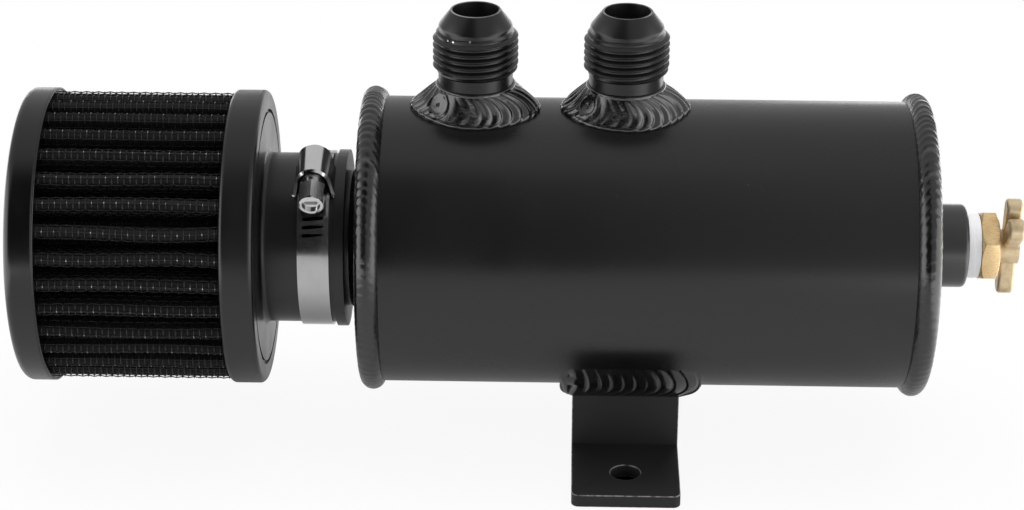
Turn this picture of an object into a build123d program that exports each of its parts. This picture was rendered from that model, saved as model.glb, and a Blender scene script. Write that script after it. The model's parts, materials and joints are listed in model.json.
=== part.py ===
from build123d import *
import math
import os

os.makedirs("parts", exist_ok=True)

# Oil catch can: a welded aluminium can on an L bracket, with two hose ports,
# a drain valve and a breather filter held on a spigot by a worm-drive clamp.
# Millimetres. The origin is the bracket's bolt hole at the underside of its foot.
# +X runs along the can to the drain, +Z up through the ports, -Y out past the foot.

# Where the can sits over its bracket
axis_height = 55.5
axis_setback = 33.3
can_offset = 4.2

# Can
can_diameter = 76.2
can_wall = 3.0
tube_length = 143.0
end_plate_thickness = 3.0
edge_prep = 2.0
weld_gap = 0.1
end_weld_reach = 2.9
end_weld_crown = 2.7
crown_lean = 0.3
fillet_hollow = 0.42

# Baffle inside the can
baffle_thickness = 2.0
baffle_from_end = 12.0
baffle_hole = 8.0
baffle_ring_diameter = 44.0
baffle_hole_count = 8

# Hose ports, 37 degree flare with a 7/8-14 thread
inlet_from_end = 29.7
port_spacing = 39.2
port_rise = 26.9
port_bore = 12.0
nose_diameter = 13.0
flare_angle = 37.0
band_diameter = 19.2
band_length = 1.4
thread_diameter = 22.225
thread_length = 11.2
thread_chamfer = 1.3
neck_diameter = 19.4
neck_inset = 1.5
port_weld_height = 7.1
port_weld_rim = 1.0
port_weld_reach_along = 7.3
port_weld_reach_across = 2.3

# L bracket
bracket_width = 28.5
bracket_thickness = 3.5
foot_depth = 28.0
hole_to_plate = 15.4
bolt_hole = 8.0
foot_corner = 2.0
bracket_weld_leg = 4.4
bracket_weld_slope = 22.0
bracket_weld_lip = 0.6
bracket_weld_front = 12.4
bracket_weld_side = 4.6
bracket_weld_back = 16.0
bracket_weld_corner = 4.0
bracket_weld_crown = 1.6

# Drain bung
bung_diameter = 22.2
bung_length = 11.1
bung_bore = 17.3
bung_rounding = 1.3
bung_weld_leg = 2.4

# Drain valve: hex body, needle stem and butterfly handle
shank_diameter = 16.4
shank_length = 13.0
tape_thickness = 0.4
tape_showing = 3.4
hex_across_flats = 17.46
hex_length = 5.0
hex_chamfer = 0.9
hex_turn = 25.0
drain_passage = 5.2
seat_from_shank_end = 5.8
stem_diameter = 7.94
stem_clearance = 0.08
stem_thread_length = 6.7
needle_tip = 3.2
needle_diameter = 6.4
needle_lift = 0.15
stem_bore = 2.6
stem_port = 2.2
spindle_diameter = 5.8
handle_gap = 0.5
hub_diameter = 9.2
hub_length = 5.1
lobe_setback = 0.8
lobe_thickness = 4.2
lobe_diameter = 5.8
lobe_radius = 12.0
lobe_root_diameter = 3.8
lobe_root_radius = 2.2
lobe_half_angle = 16.5
wing_angle = 28.5
lobe_rounding = 0.8

# Filter spigot on the can's end
spigot_diameter = 36.0
spigot_wall = 2.5
spigot_length = 25.0
spigot_weld_leg = 3.0

# Breather filter
filter_gap = 4.1
rubber_clearance = 0.1
filter_diameter = 78.4
cap_height = 7.6
cap_rounding = 2.2
cap_recess_diameter = 58.0
cap_recess_depth = 0.8
pleat_length = 47.3
base_height = 8.9
base_rounding = 1.4
groove_diameter = 67.4
groove_width = 1.0
groove_depth = 0.8
neck_length = 21.8
filter_neck_diameter = 45.2
rim_diameter = 47.2
rim_width = 2.6

# Folded filter sheet and the wire screen over it
pleat_count = 33
pleat_turn = 3.2
pleat_tip_diameter = 76.4
pleat_valley_diameter = 54.0
media_thickness = 1.2
screen_thickness = 0.4
tip_bend = 0.9
valley_bend = 1.7

# Worm-drive clamp
band_width = 8.2
band_thickness = 0.7
band_play = 0.05
housing_from_rim = 0.3
housing_angle = 65.0
tail_angle = 21.5
band_start_angle = 78.0
ramp_end_angle = 85.0
ramp_start_angle = 105.0
slot_pitch_angle = 5.0
slot_first_angle = 25.5
slot_count = 24
slot_length = 5.6
slot_width = 1.0
slot_slant = 7.0
worm_diameter = 6.2
worm_play = 0.25
housing_length = 11.0
housing_wall = 0.8
housing_play = 0.4
housing_foot = 1.6
screw_neck_diameter = 4.8
screw_neck_length = 1.5
screw_head_across_flats = 6.3
screw_head_length = 5.9
screw_head_chamfer = 45.0
screw_recess_diameter = 4.8
screw_recess_depth = 0.8
screw_slot_width = 1.2
screw_slot_length = 3.8
screw_slot_depth = 1.0

# Radii and stations that follow from the sizes above
can_r = can_diameter / 2
bore_r = can_r - can_wall
neck_r = neck_diameter / 2
filter_seam = can_offset - tube_length / 2
drain_seam = can_offset + tube_length / 2
filter_face = filter_seam - end_plate_thickness
drain_face = drain_seam + end_plate_thickness
rim_end = filter_face - filter_gap
base_face = rim_end - neck_length
pleat_right = base_face - base_height
pleat_left = pleat_right - pleat_length
cap_end = pleat_left - cap_height
bung_end = drain_face + bung_length
hex_start = bung_end + tape_showing
hex_end = hex_start + hex_length
shank_end = hex_start - shank_length
seat_x = shank_end + seat_from_shank_end
handle_start = hex_end + handle_gap
pick_tolerance = 0.01

can_axis = Axis((0, axis_setback, axis_height), (1, 0, 0))
lengthwise = Plane((0, axis_setback, axis_height), x_dir=(1, 0, 0), z_dir=(0, -1, 0))


def across(x):
    """Plane square to the can's axis at x: local x forward (-Y), local y up, normal -X."""
    return Plane((x, axis_setback, axis_height), x_dir=(0, -1, 0), z_dir=(-1, 0, 0))


def polar(radius, angle):
    """Point at an angle, in degrees, round the local origin."""
    return (radius * math.cos(math.radians(angle)), radius * math.sin(math.radians(angle)))


def save(part, name):
    """Label a finished piece and write its file."""
    part.label = name
    export_step(part, f"parts/{name}.step")


# Can tube, with a hole for each port's neck
port_stations = [filter_face + inlet_from_end, filter_face + inlet_from_end + port_spacing]
with BuildPart() as can_tube:
    with BuildSketch(across(drain_seam)):
        Circle(can_r)
        Circle(bore_r, mode=Mode.SUBTRACT)
    extrude(amount=tube_length)
    for port_x in port_stations:
        with BuildSketch(Plane((port_x, axis_setback, axis_height))):
            Circle(neck_r + weld_gap)
        extrude(amount=can_r, mode=Mode.SUBTRACT)
save(can_tube.part, "can_tube")


def end_plate(seam, outward, hole_radius):
    """Disc on the tube's end, bevelled for the weld, with a hole for what passes through it."""
    face = seam + outward * end_plate_thickness
    with BuildPart() as plate:
        with BuildSketch(lengthwise):
            with BuildLine():
                Polyline(
                    (seam, hole_radius),
                    (seam, can_r),
                    (face - outward * edge_prep, can_r),
                    (face, can_r - edge_prep),
                    (face, hole_radius),
                    close=True,
                )
            make_face()
        revolve(axis=can_axis)
    return plate.part


def end_weld(seam, outward):
    """Bead round the seam, from a toe on the tube to the bevel on the end plate."""
    face = seam + outward * end_plate_thickness
    toe = (seam - outward * end_weld_reach, can_r)
    crown = ((toe[0] + face) / 2 + outward * crown_lean, can_r + end_weld_crown)
    heel = (face, can_r - edge_prep)
    with BuildPart() as bead:
        with BuildSketch(lengthwise):
            with BuildLine():
                ThreePointArc(toe, crown, heel)
                Polyline(heel, (face - outward * edge_prep, can_r), toe)
            make_face()
        revolve(axis=can_axis)
    return bead.part


def fillet_weld(wall, outward, radius, leg):
    """Hollow-faced ring in the corner between an end plate and a tube that stands on it."""
    with BuildPart() as ring:
        with BuildSketch(lengthwise):
            with BuildLine():
                far = (wall + outward * leg, radius)
                top = (wall, radius + leg)
                sag = (wall + outward * fillet_hollow * leg, radius + fillet_hollow * leg)
                ThreePointArc(far, sag, top)
                Polyline(top, (wall, radius), far)
            make_face()
        revolve(axis=can_axis)
    return ring.part


spigot_r = spigot_diameter / 2
bung_r = bung_diameter / 2
save(end_plate(filter_seam, -1, spigot_r + weld_gap), "filter_end_plate")
save(end_plate(drain_seam, 1, bung_r + weld_gap), "drain_end_plate")
save(end_weld(filter_seam, -1), "filter_end_weld")
save(end_weld(drain_seam, 1), "drain_end_weld")
save(fillet_weld(filter_face, -1, spigot_r, spigot_weld_leg), "spigot_weld")
save(fillet_weld(drain_face, 1, bung_r, bung_weld_leg), "drain_bung_weld")

# Baffle plate that keeps splashed oil away from the breather
baffle_x = filter_seam + baffle_from_end
with BuildPart() as baffle_plate:
    with BuildSketch(across(baffle_x + baffle_thickness)):
        Circle(bore_r - weld_gap)
        Circle(baffle_hole / 2, mode=Mode.SUBTRACT)
        with PolarLocations(baffle_ring_diameter / 2, baffle_hole_count):
            Circle(baffle_hole / 2, mode=Mode.SUBTRACT)
    extrude(amount=baffle_thickness)
save(baffle_plate.part, "baffle_plate")

# Spigot that carries the breather filter
with BuildPart() as filter_spigot:
    with BuildSketch(across(filter_seam)):
        Circle(spigot_r)
        Circle(spigot_r - spigot_wall, mode=Mode.SUBTRACT)
    extrude(amount=end_plate_thickness + spigot_length)
    chamfer(filter_spigot.edges().filter_by(GeomType.CIRCLE).group_by(Axis.X)[0], spigot_wall / 4)
save(filter_spigot.part, "filter_spigot")

# Port fittings: flared nose, plain band, thread at its full diameter and neck
lip_z = can_r + port_rise
flare_length = (band_diameter - nose_diameter) / 2 / math.tan(math.radians(flare_angle))
thread_top = lip_z - flare_length - band_length
thread_bottom = thread_top - thread_length
thread_r = thread_diameter / 2
for port_x, port_name in zip(port_stations, ("inlet_fitting", "outlet_fitting")):
    with BuildPart() as fitting:
        with BuildSketch(Plane((port_x, axis_setback, axis_height), x_dir=(1, 0, 0), z_dir=(0, -1, 0))):
            with BuildLine():
                Polyline(
                    (port_bore / 2, bore_r - neck_inset),
                    (neck_r, bore_r - neck_inset),
                    (neck_r, thread_bottom),
                    (thread_r - thread_chamfer, thread_bottom),
                    (thread_r, thread_bottom + thread_chamfer),
                    (thread_r, thread_top - thread_chamfer),
                    (thread_r - thread_chamfer, thread_top),
                    (band_diameter / 2, thread_top),
                    (band_diameter / 2, thread_top + band_length),
                    (nose_diameter / 2, lip_z),
                    (port_bore / 2, lip_z),
                    close=True,
                )
            make_face()
        revolve(axis=Axis((port_x, axis_setback, 0), (0, 0, 1)))
    save(fitting.part, port_name)

# Port welds: a skirt from round the neck to a longer outline along the can
weld_top = can_r + port_weld_height
weld_rim_r = neck_r + port_weld_rim
toe_across = neck_r + port_weld_reach_across
toe_along = neck_r + port_weld_reach_along
weld_base = math.sqrt(can_r**2 - toe_across**2)
base_along = toe_along + (toe_along - weld_rim_r) * (can_r - weld_base) / port_weld_height
for port_x, weld_name in zip(port_stations, ("inlet_weld", "outlet_weld")):
    with BuildPart() as port_weld:
        with BuildSketch(Plane((port_x, axis_setback, axis_height + weld_base))):
            Ellipse(base_along, toe_across)
        with BuildSketch(Plane((port_x, axis_setback, axis_height + weld_top))):
            Circle(weld_rim_r)
        loft()
        with BuildSketch(across(drain_seam)):
            Circle(can_r)
        extrude(amount=tube_length, mode=Mode.SUBTRACT)
        with BuildSketch(Plane((port_x, axis_setback, axis_height))):
            Circle(neck_r)
        extrude(amount=lip_z, mode=Mode.SUBTRACT)
    save(port_weld.part, weld_name)

# L bracket, its plate coped to the can
foot_front = hole_to_plate - foot_depth
plate_back = hole_to_plate + bracket_thickness
with BuildPart() as mounting_bracket:
    with BuildSketch(Plane((-bracket_width / 2, 0, 0), x_dir=(0, 1, 0), z_dir=(1, 0, 0))):
        with BuildLine():
            Polyline(
                (foot_front, 0),
                (plate_back, 0),
                (plate_back, axis_height),
                (hole_to_plate, axis_height),
                (hole_to_plate, bracket_thickness),
                (foot_front, bracket_thickness),
                close=True,
            )
        make_face()
    extrude(amount=bracket_width)
    with BuildSketch(across(drain_seam)):
        Circle(can_r)
    extrude(amount=tube_length, mode=Mode.SUBTRACT)
    with BuildSketch(Plane.XY):
        Circle(bolt_hole / 2)
    extrude(amount=bracket_thickness, mode=Mode.SUBTRACT)
    fillet(mounting_bracket.edges().filter_by(Axis.Z).group_by(Axis.Y)[0], foot_corner)
save(mounting_bracket.part, "mounting_bracket")

# Bracket weld: a crowned fillet all round the plate, which climbs the can's front
plate_from_axis = axis_setback - hole_to_plate
joint_z = axis_height - math.sqrt(can_r**2 - plate_from_axis**2)
toe_z = axis_height - math.sqrt(can_r**2 - (plate_from_axis + bracket_weld_front) ** 2)
weld_low = joint_z - bracket_weld_leg
weld_middle = (weld_low + toe_z) / 2
weld_front = hole_to_plate - bracket_weld_front
weld_back = plate_back + bracket_weld_back
crown_front = (hole_to_plate + weld_front) / 2 - bracket_weld_crown
crown_back = (plate_back + weld_back) / 2 + bracket_weld_crown
with BuildPart() as bracket_weld:
    plate_middle = hole_to_plate + bracket_thickness / 2
    with BuildSketch(Plane((0, plate_middle, weld_low)).rotated((-bracket_weld_slope, 0, 0))):
        RectangleRounded(
            bracket_width + 2 * bracket_weld_lip,
            bracket_thickness + 2 * bracket_weld_lip,
            bracket_weld_lip,
        )
    with BuildSketch(Plane((0, (crown_front + crown_back) / 2, weld_middle))):
        RectangleRounded(
            bracket_width + bracket_weld_side + 2 * bracket_weld_crown,
            crown_back - crown_front,
            bracket_weld_corner,
        )
    with BuildSketch(Plane((0, (weld_front + weld_back) / 2, toe_z))):
        RectangleRounded(
            bracket_width + 2 * bracket_weld_side,
            weld_back - weld_front,
            bracket_weld_corner,
        )
    loft()
    with BuildSketch(across(drain_seam)):
        Circle(can_r)
    extrude(amount=tube_length, mode=Mode.SUBTRACT)
    with BuildSketch(Plane((0, hole_to_plate + bracket_thickness / 2, 0))):
        Rectangle(bracket_width, bracket_thickness)
    extrude(amount=axis_height, mode=Mode.SUBTRACT)
save(bracket_weld.part, "bracket_weld")

# Drain bung, rounded at its outer edge
with BuildPart() as drain_bung:
    with BuildSketch(across(bung_end)):
        Circle(bung_r)
        Circle(bung_bore / 2, mode=Mode.SUBTRACT)
    extrude(amount=end_plate_thickness + bung_length)
    end_rims = drain_bung.edges().filter_by(GeomType.CIRCLE).group_by(Axis.X)[-1]
    outer_rim = end_rims.sort_by(SortBy.RADIUS)[-1]
    fillet(outer_rim, bung_rounding)
save(drain_bung.part, "drain_bung")

# Drain valve body: hex, shank, oil passage, needle seat and stem bore
shank_r = shank_diameter / 2
passage_r = drain_passage / 2
stem_r = stem_diameter / 2
stem_hole_r = stem_r + stem_clearance
hex_corner_r = hex_across_flats / 2 / math.cos(math.radians(30))
with BuildPart() as drain_valve_body:
    with BuildSketch(across(hex_start)):
        Circle(shank_r)
    extrude(amount=shank_length)
    with BuildSketch(across(hex_end)):
        RegularPolygon(hex_corner_r, 6, rotation=hex_turn)
    extrude(amount=hex_length)
    with BuildSketch(lengthwise):
        for face, inward in ((hex_start, 1), (hex_end, -1)):
            with BuildLine():
                Polyline(
                    (face, hex_across_flats / 2 - hex_chamfer / 2),
                    (face, hex_corner_r + hex_chamfer),
                    (face + inward * hex_chamfer, hex_corner_r + hex_chamfer),
                    (face + inward * hex_chamfer, hex_corner_r),
                    close=True,
                )
            make_face()
    revolve(axis=can_axis, mode=Mode.SUBTRACT)
    with BuildSketch(lengthwise):
        with BuildLine():
            Polyline(
                (shank_end, 0),
                (shank_end, passage_r),
                (seat_x, passage_r),
                (seat_x + stem_hole_r - passage_r, stem_hole_r),
                (hex_end, stem_hole_r),
                (hex_end, 0),
                close=True,
            )
        make_face()
    revolve(axis=can_axis, mode=Mode.SUBTRACT)
save(drain_valve_body.part, "drain_valve_body")

# Seal tape wound on the valve's thread
with BuildPart() as thread_seal_tape:
    with BuildSketch(across(hex_start)):
        Circle(shank_r + tape_thickness)
        Circle(shank_r, mode=Mode.SUBTRACT)
    extrude(amount=shank_length)
save(thread_seal_tape.part, "thread_seal_tape")

# Needle stem, drilled to let the oil out through its end
needle_r = needle_diameter / 2
tip_r = needle_tip / 2
tip_x = seat_x + needle_lift - (passage_r - tip_r)
shoulder_x = tip_x + needle_r - tip_r
stem_front = hex_end - handle_gap
thread_back = stem_front - stem_thread_length
stem_tip_end = handle_start + hub_length
with BuildPart() as drain_stem:
    with BuildSketch(lengthwise):
        with BuildLine():
            Polyline(
                (tip_x, 0),
                (tip_x, tip_r),
                (shoulder_x, needle_r),
                (thread_back, needle_r),
                (thread_back, stem_r),
                (stem_front, stem_r),
                (stem_front, spindle_diameter / 2),
                (stem_tip_end, spindle_diameter / 2),
                (stem_tip_end, 0),
                close=True,
            )
        make_face()
    revolve(axis=can_axis)
    drill_end = (shoulder_x + thread_back) / 2
    with BuildSketch(across(stem_tip_end)):
        Circle(stem_bore / 2)
    extrude(amount=stem_tip_end - drill_end + stem_port / 2, mode=Mode.SUBTRACT)
    with BuildSketch(Plane((drill_end, axis_setback, axis_height))):
        Circle(stem_port / 2)
    extrude(amount=stem_diameter, both=True, mode=Mode.SUBTRACT)
save(drain_stem.part, "drain_stem")

# Butterfly handle: a hub with two notched wings
with BuildSketch(across(handle_start + lobe_setback + lobe_thickness)) as lobe:
    with Locations((0, lobe_radius)):
        Circle(lobe_diameter / 2)
    with Locations((0, lobe_root_radius)):
        Circle(lobe_root_diameter / 2)
    make_hull()
with BuildPart() as drain_handle:
    with BuildSketch(across(handle_start + lobe_setback + lobe_thickness)):
        for wing in (0, 180):
            for side in (-1, 1):
                add(lobe.sketch_local, rotation=wing - wing_angle + side * lobe_half_angle)
    extrude(amount=lobe_thickness)
    fillet(drain_handle.faces().filter_by(Axis.X).edges(), lobe_rounding)
    with BuildSketch(across(handle_start + hub_length)):
        Circle(hub_diameter / 2)
    extrude(amount=hub_length)
    with BuildSketch(across(handle_start + hub_length)):
        Circle(spindle_diameter / 2 + stem_clearance)
    extrude(amount=hub_length, mode=Mode.SUBTRACT)
save(drain_handle.part, "drain_handle")

# Filter base: moulded flange, neck and end rim in one
filter_r = filter_diameter / 2
filter_neck_r = filter_neck_diameter / 2
rubber_bore_r = spigot_r + rubber_clearance
inlet_r = spigot_r - spigot_wall
with BuildPart() as filter_base:
    with BuildSketch(lengthwise):
        with BuildLine():
            Polyline(
                (pleat_right, inlet_r),
                (pleat_right, filter_r),
                (base_face, filter_r),
                (base_face, groove_diameter / 2 + groove_width / 2),
                (base_face - groove_depth, groove_diameter / 2 + groove_width / 2),
                (base_face - groove_depth, groove_diameter / 2 - groove_width / 2),
                (base_face, groove_diameter / 2 - groove_width / 2),
                (base_face, filter_neck_r),
                (rim_end - rim_width, filter_neck_r),
                (rim_end - rim_width, rim_diameter / 2),
                (rim_end, rim_diameter / 2),
                (rim_end, rubber_bore_r),
                (base_face, rubber_bore_r),
                (base_face, inlet_r),
                close=True,
            )
        make_face()
    revolve(axis=can_axis)
    base_rims = filter_base.edges().filter_by(GeomType.CIRCLE).filter_by(
        lambda e: e.radius > filter_r - pick_tolerance
    )
    fillet(base_rims, base_rounding)
    neck_root = filter_base.edges().filter_by(GeomType.CIRCLE).filter_by(
        lambda e: abs(e.radius - filter_neck_r) < pick_tolerance
        and abs(e.center().X - base_face) < pick_tolerance
    )
    fillet(neck_root, base_rounding)
save(filter_base.part, "filter_base")

# Filter cap: moulded disc that closes the far end of the pleats
with BuildPart() as filter_cap:
    with BuildSketch(across(pleat_left)):
        Circle(filter_r)
    extrude(amount=cap_height)
    fillet(filter_cap.edges().group_by(Axis.X)[0], cap_rounding)
    fillet(filter_cap.edges().group_by(Axis.X)[-1], cap_rounding / 4)
    with BuildSketch(across(cap_end + cap_recess_depth)):
        Circle(cap_recess_diameter / 2)
    extrude(amount=cap_recess_depth, mode=Mode.SUBTRACT)
save(filter_cap.part, "filter_cap")

# Fold lines of the filter sheet: every tip and valley bends about its own centre
screen_offset = media_thickness / 2 + screen_thickness
tip_centre_r = pleat_tip_diameter / 2 - tip_bend - screen_offset
valley_centre_r = pleat_valley_diameter / 2 + valley_bend - screen_offset
half_pitch = 180 / pleat_count


def pleat_outline(depth):
    """Closed outline of the folds, shifted outwards by depth from the sheet's middle."""
    tip = tip_bend + depth
    valley = valley_bend - depth
    tip_centre = Vector(*polar(tip_centre_r, 0))
    valley_centre = Vector(*polar(valley_centre_r, half_pitch))
    span = valley_centre - tip_centre
    lean = math.degrees(math.asin((tip + valley) / span.length))
    heading = math.degrees(math.atan2(span.Y, span.X))
    side = Vector(*polar(1, heading + lean - 90))
    flank_top = tip_centre + side * tip
    flank_foot = valley_centre - side * valley
    crest = Vector(tip_centre_r + tip, 0)
    trough = Vector(*polar(valley_centre_r - valley, half_pitch))
    for fold in range(pleat_count):
        turn = pleat_turn + fold * 2 * half_pitch
        top_left = Vector(flank_top.X, -flank_top.Y).rotate(Axis.Z, turn)
        top_right = flank_top.rotate(Axis.Z, turn)
        foot_left = flank_foot.rotate(Axis.Z, turn)
        mirrored = Vector(flank_foot.X, -flank_foot.Y)
        foot_right = mirrored.rotate(Axis.Z, turn + 2 * half_pitch)
        next_top = Vector(flank_top.X, -flank_top.Y).rotate(Axis.Z, turn + 2 * half_pitch)
        ThreePointArc(top_left, crest.rotate(Axis.Z, turn), top_right)
        Line(top_right, foot_left)
        ThreePointArc(foot_left, trough.rotate(Axis.Z, turn), foot_right)
        Line(foot_right, next_top)


def pleated_sheet(inner_depth, outer_depth):
    """Folded sheet between two depths, running from the cap to the base."""
    with BuildPart() as sheet:
        with BuildSketch(across(pleat_right)):
            with BuildLine():
                pleat_outline(outer_depth)
            make_face()
            with BuildLine():
                pleat_outline(inner_depth)
            make_face(mode=Mode.SUBTRACT)
        extrude(amount=pleat_length)
    return sheet.part


save(pleated_sheet(-media_thickness / 2, media_thickness / 2), "pleated_media")
save(pleated_sheet(media_thickness / 2, screen_offset), "wire_screen")

# Clamp band: one strip round the neck whose slotted tail runs back over its start
band_right = rim_end - rim_width - housing_from_rim - housing_wall - band_play
inner_low = filter_neck_r + band_play
inner_high = inner_low + band_thickness
tail_low = inner_high + band_play
tail_high = tail_low + band_thickness
wrap_angle = 360 - ramp_start_angle + band_start_angle
ramp_middle = (ramp_start_angle + ramp_end_angle) / 2
ramp_low = polar((inner_low + tail_low) / 2, ramp_middle)
ramp_high = polar((inner_high + tail_high) / 2, ramp_middle)
with BuildPart() as clamp_band:
    with BuildSketch(across(band_right)):
        with BuildLine():
            CenterArc((0, 0), inner_low, band_start_angle, -wrap_angle)
            ThreePointArc(polar(inner_low, ramp_start_angle), ramp_low, polar(tail_low, ramp_end_angle))
            CenterArc((0, 0), tail_low, ramp_end_angle, tail_angle - ramp_end_angle)
            Line(polar(tail_low, tail_angle), polar(tail_high, tail_angle))
            CenterArc((0, 0), tail_high, tail_angle, ramp_end_angle - tail_angle)
            ThreePointArc(polar(tail_high, ramp_end_angle), ramp_high, polar(inner_high, ramp_start_angle))
            CenterArc((0, 0), inner_high, ramp_start_angle, wrap_angle)
            Line(polar(inner_high, band_start_angle), polar(inner_low, band_start_angle))
        make_face()
    extrude(amount=band_width)
    tail_corners = clamp_band.edges().filter_by(
        lambda e: abs(e.length - band_thickness) < pick_tolerance
        and e.center().Y < axis_setback - inner_low * math.cos(math.radians(tail_angle))
    )
    fillet(tail_corners, band_width / 6)
    for slot in range(slot_count):
        angle = slot_first_angle + slot * slot_pitch_angle
        over_start = angle < band_start_angle + slot_pitch_angle / 4
        floor = tail_low - band_play / 2 if over_start else inner_low - band_play
        middle = Vector(band_right - band_width / 2, axis_setback, axis_height)
        out = Vector(0, -math.cos(math.radians(angle)), math.sin(math.radians(angle)))
        along = Vector(1, 0, 0).rotate(Axis((0, 0, 0), out), slot_slant)
        with BuildSketch(Plane(middle + out * floor, x_dir=along, z_dir=out)):
            SlotOverall(slot_length, slot_width)
        extrude(amount=tail_high - floor + band_thickness, mode=Mode.SUBTRACT)
save(clamp_band.part, "clamp_band")

# Clamp housing and screw lie square to the neck's radius at the housing's angle
screw_from_axis = tail_high + worm_play + worm_diameter / 2
housing_lean = math.radians(housing_angle)
screw_out = Vector(0, -math.cos(housing_lean), math.sin(housing_lean))
screw_way = Vector(0, -math.sin(housing_lean), -math.cos(housing_lean))
band_middle = Vector(band_right - band_width / 2, axis_setback, axis_height)
screw_centre = band_middle + screw_out * screw_from_axis


def screw_plane(distance):
    """Plane square to the clamp screw, a distance towards its head from the housing's middle."""
    return Plane(screw_centre + screw_way * distance, x_dir=(1, 0, 0), z_dir=screw_way)


foot_level = screw_from_axis - inner_low - band_play
arch_r = worm_diameter / 2 + housing_play
inner_half = band_width / 2 + band_play
with BuildSketch(screw_plane(-housing_length / 2)) as housing_outside:
    Circle(arch_r + housing_wall)
    with Locations((0, -foot_level + housing_foot / 2)):
        Rectangle(2 * (inner_half + housing_wall), housing_foot)
    make_hull()
with BuildSketch(screw_plane(-housing_length / 2)) as housing_inside:
    Circle(arch_r)
    with Locations((0, -foot_level)):
        Rectangle(2 * inner_half, 2 * housing_foot)
    make_hull()
with BuildPart() as clamp_housing:
    with BuildSketch(screw_plane(-housing_length / 2)):
        add(housing_outside.sketch_local)
        add(housing_inside.sketch_local, mode=Mode.SUBTRACT)
    extrude(amount=housing_length)
save(clamp_housing.part, "clamp_housing")

# Clamp screw: chamfered hex head with a slotted recess, neck and worm at its full diameter
head_start = housing_length / 2 + screw_neck_length
head_end = head_start + screw_head_length
with BuildPart() as clamp_screw:
    with BuildSketch(screw_plane(head_start)):
        RegularPolygon(screw_head_across_flats / 2 / math.cos(math.radians(30)), 6, rotation=30)
    extrude(amount=screw_head_length)
    with BuildSketch(screw_plane(head_end)):
        Circle(screw_head_across_flats / 2)
    extrude(amount=-screw_head_length, taper=-screw_head_chamfer, mode=Mode.INTERSECT)
    with BuildSketch(screw_plane(head_end)):
        Circle(screw_recess_diameter / 2)
    extrude(amount=-screw_recess_depth, mode=Mode.SUBTRACT)
    with BuildSketch(screw_plane(head_end - screw_recess_depth)):
        SlotOverall(screw_slot_length, screw_slot_width)
    extrude(amount=-screw_slot_depth, mode=Mode.SUBTRACT)
    with BuildSketch(screw_plane(housing_length / 2)):
        Circle(screw_neck_diameter / 2)
    extrude(amount=screw_neck_length)
    with BuildSketch(screw_plane(-housing_length / 2)):
        Circle(worm_diameter / 2)
    extrude(amount=housing_length)
save(clamp_screw.part, "clamp_screw")
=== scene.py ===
"""Looks of an oil catch can: welded black can, breather filter, hose ports, drain valve and bracket.

Every piece is in metres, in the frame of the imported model. The can's axis runs along X, and the hose
ports point up.
"""

import json
import logging
import math
from collections.abc import Callable, Sequence
from dataclasses import dataclass, replace
from enum import Enum
from functools import lru_cache

import bmesh
import bpy
from mathutils import Matrix, Vector


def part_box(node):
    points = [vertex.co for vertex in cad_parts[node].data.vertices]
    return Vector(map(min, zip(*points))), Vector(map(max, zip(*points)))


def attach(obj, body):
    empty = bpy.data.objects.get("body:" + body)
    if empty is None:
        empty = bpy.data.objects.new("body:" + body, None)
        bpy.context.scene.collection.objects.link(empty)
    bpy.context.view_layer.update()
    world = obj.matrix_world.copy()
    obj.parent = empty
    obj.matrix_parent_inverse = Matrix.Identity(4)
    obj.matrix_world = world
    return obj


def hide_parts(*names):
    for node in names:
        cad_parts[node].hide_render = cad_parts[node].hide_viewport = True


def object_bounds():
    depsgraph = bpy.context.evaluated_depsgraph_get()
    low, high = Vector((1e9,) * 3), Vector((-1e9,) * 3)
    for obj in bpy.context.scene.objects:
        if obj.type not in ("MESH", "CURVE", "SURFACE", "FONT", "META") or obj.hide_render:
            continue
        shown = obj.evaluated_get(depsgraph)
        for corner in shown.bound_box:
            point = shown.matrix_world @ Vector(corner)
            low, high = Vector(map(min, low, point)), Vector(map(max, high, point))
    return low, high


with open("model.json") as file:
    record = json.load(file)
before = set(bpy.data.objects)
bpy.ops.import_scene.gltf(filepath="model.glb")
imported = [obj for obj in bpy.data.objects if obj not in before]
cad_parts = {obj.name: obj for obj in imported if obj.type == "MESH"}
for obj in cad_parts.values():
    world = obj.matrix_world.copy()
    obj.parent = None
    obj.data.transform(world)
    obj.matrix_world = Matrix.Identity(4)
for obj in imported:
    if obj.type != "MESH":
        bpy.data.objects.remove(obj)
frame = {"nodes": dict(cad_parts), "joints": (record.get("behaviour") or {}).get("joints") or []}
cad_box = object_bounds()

log = logging.getLogger("catch_can")

MM = 0.001
INCH = 25.4 * MM
FULL_TURN = 2 * math.pi
UP = Vector((0, 0, 1))
MERGE_DISTANCE = 0.002 * MM

# Values that a mesh carries for its material
EDGE_MARK = "rounded_edge"
# Share of a ripple's height, which welds read to paint a highlight on each crest
CREST_HIGHLIGHT_MARK = "ripple_crest_highlight"
# Faces of the band's slots, painted near black as shade
SLOT_SHADE_MARK = "slot_painted_shade"

# Angle in degrees under which a rolled or rippled surface shades as one
SOFT_CREASE = 80.0

# Where most values lie of one noise, and of two multiplied
BLOTCHES = (0.3, 0.7)
DRAWN_LINES = (0.1, 0.45)

Triple = tuple[float, float, float]
Span = tuple[float, float]
Place = Callable[[float, float], Vector]
Rise = Callable[[float, float], float]
Socket = bpy.types.NodeSocket
FoldPoint = tuple[Vector, Vector]
Patch = tuple[Triple, float, float]


class Body(Enum):
    """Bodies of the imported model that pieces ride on."""

    CAN = "can_assembly"
    CLAMP_SCREW = "clamp_screw"


class Slot(Enum):
    """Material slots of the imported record."""

    BLACK_ALUMINIUM = "black_aluminium"
    BLACK_WELD = "black_weld"
    BRASS = "brass"
    WHITE_TAPE = "white_tape"
    BLACK_RUBBER = "black_rubber"
    FILTER_CLOTH = "filter_cloth"
    BLACK_WIRE = "black_wire"
    CLAMP_STEEL = "clamp_steel"


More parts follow.
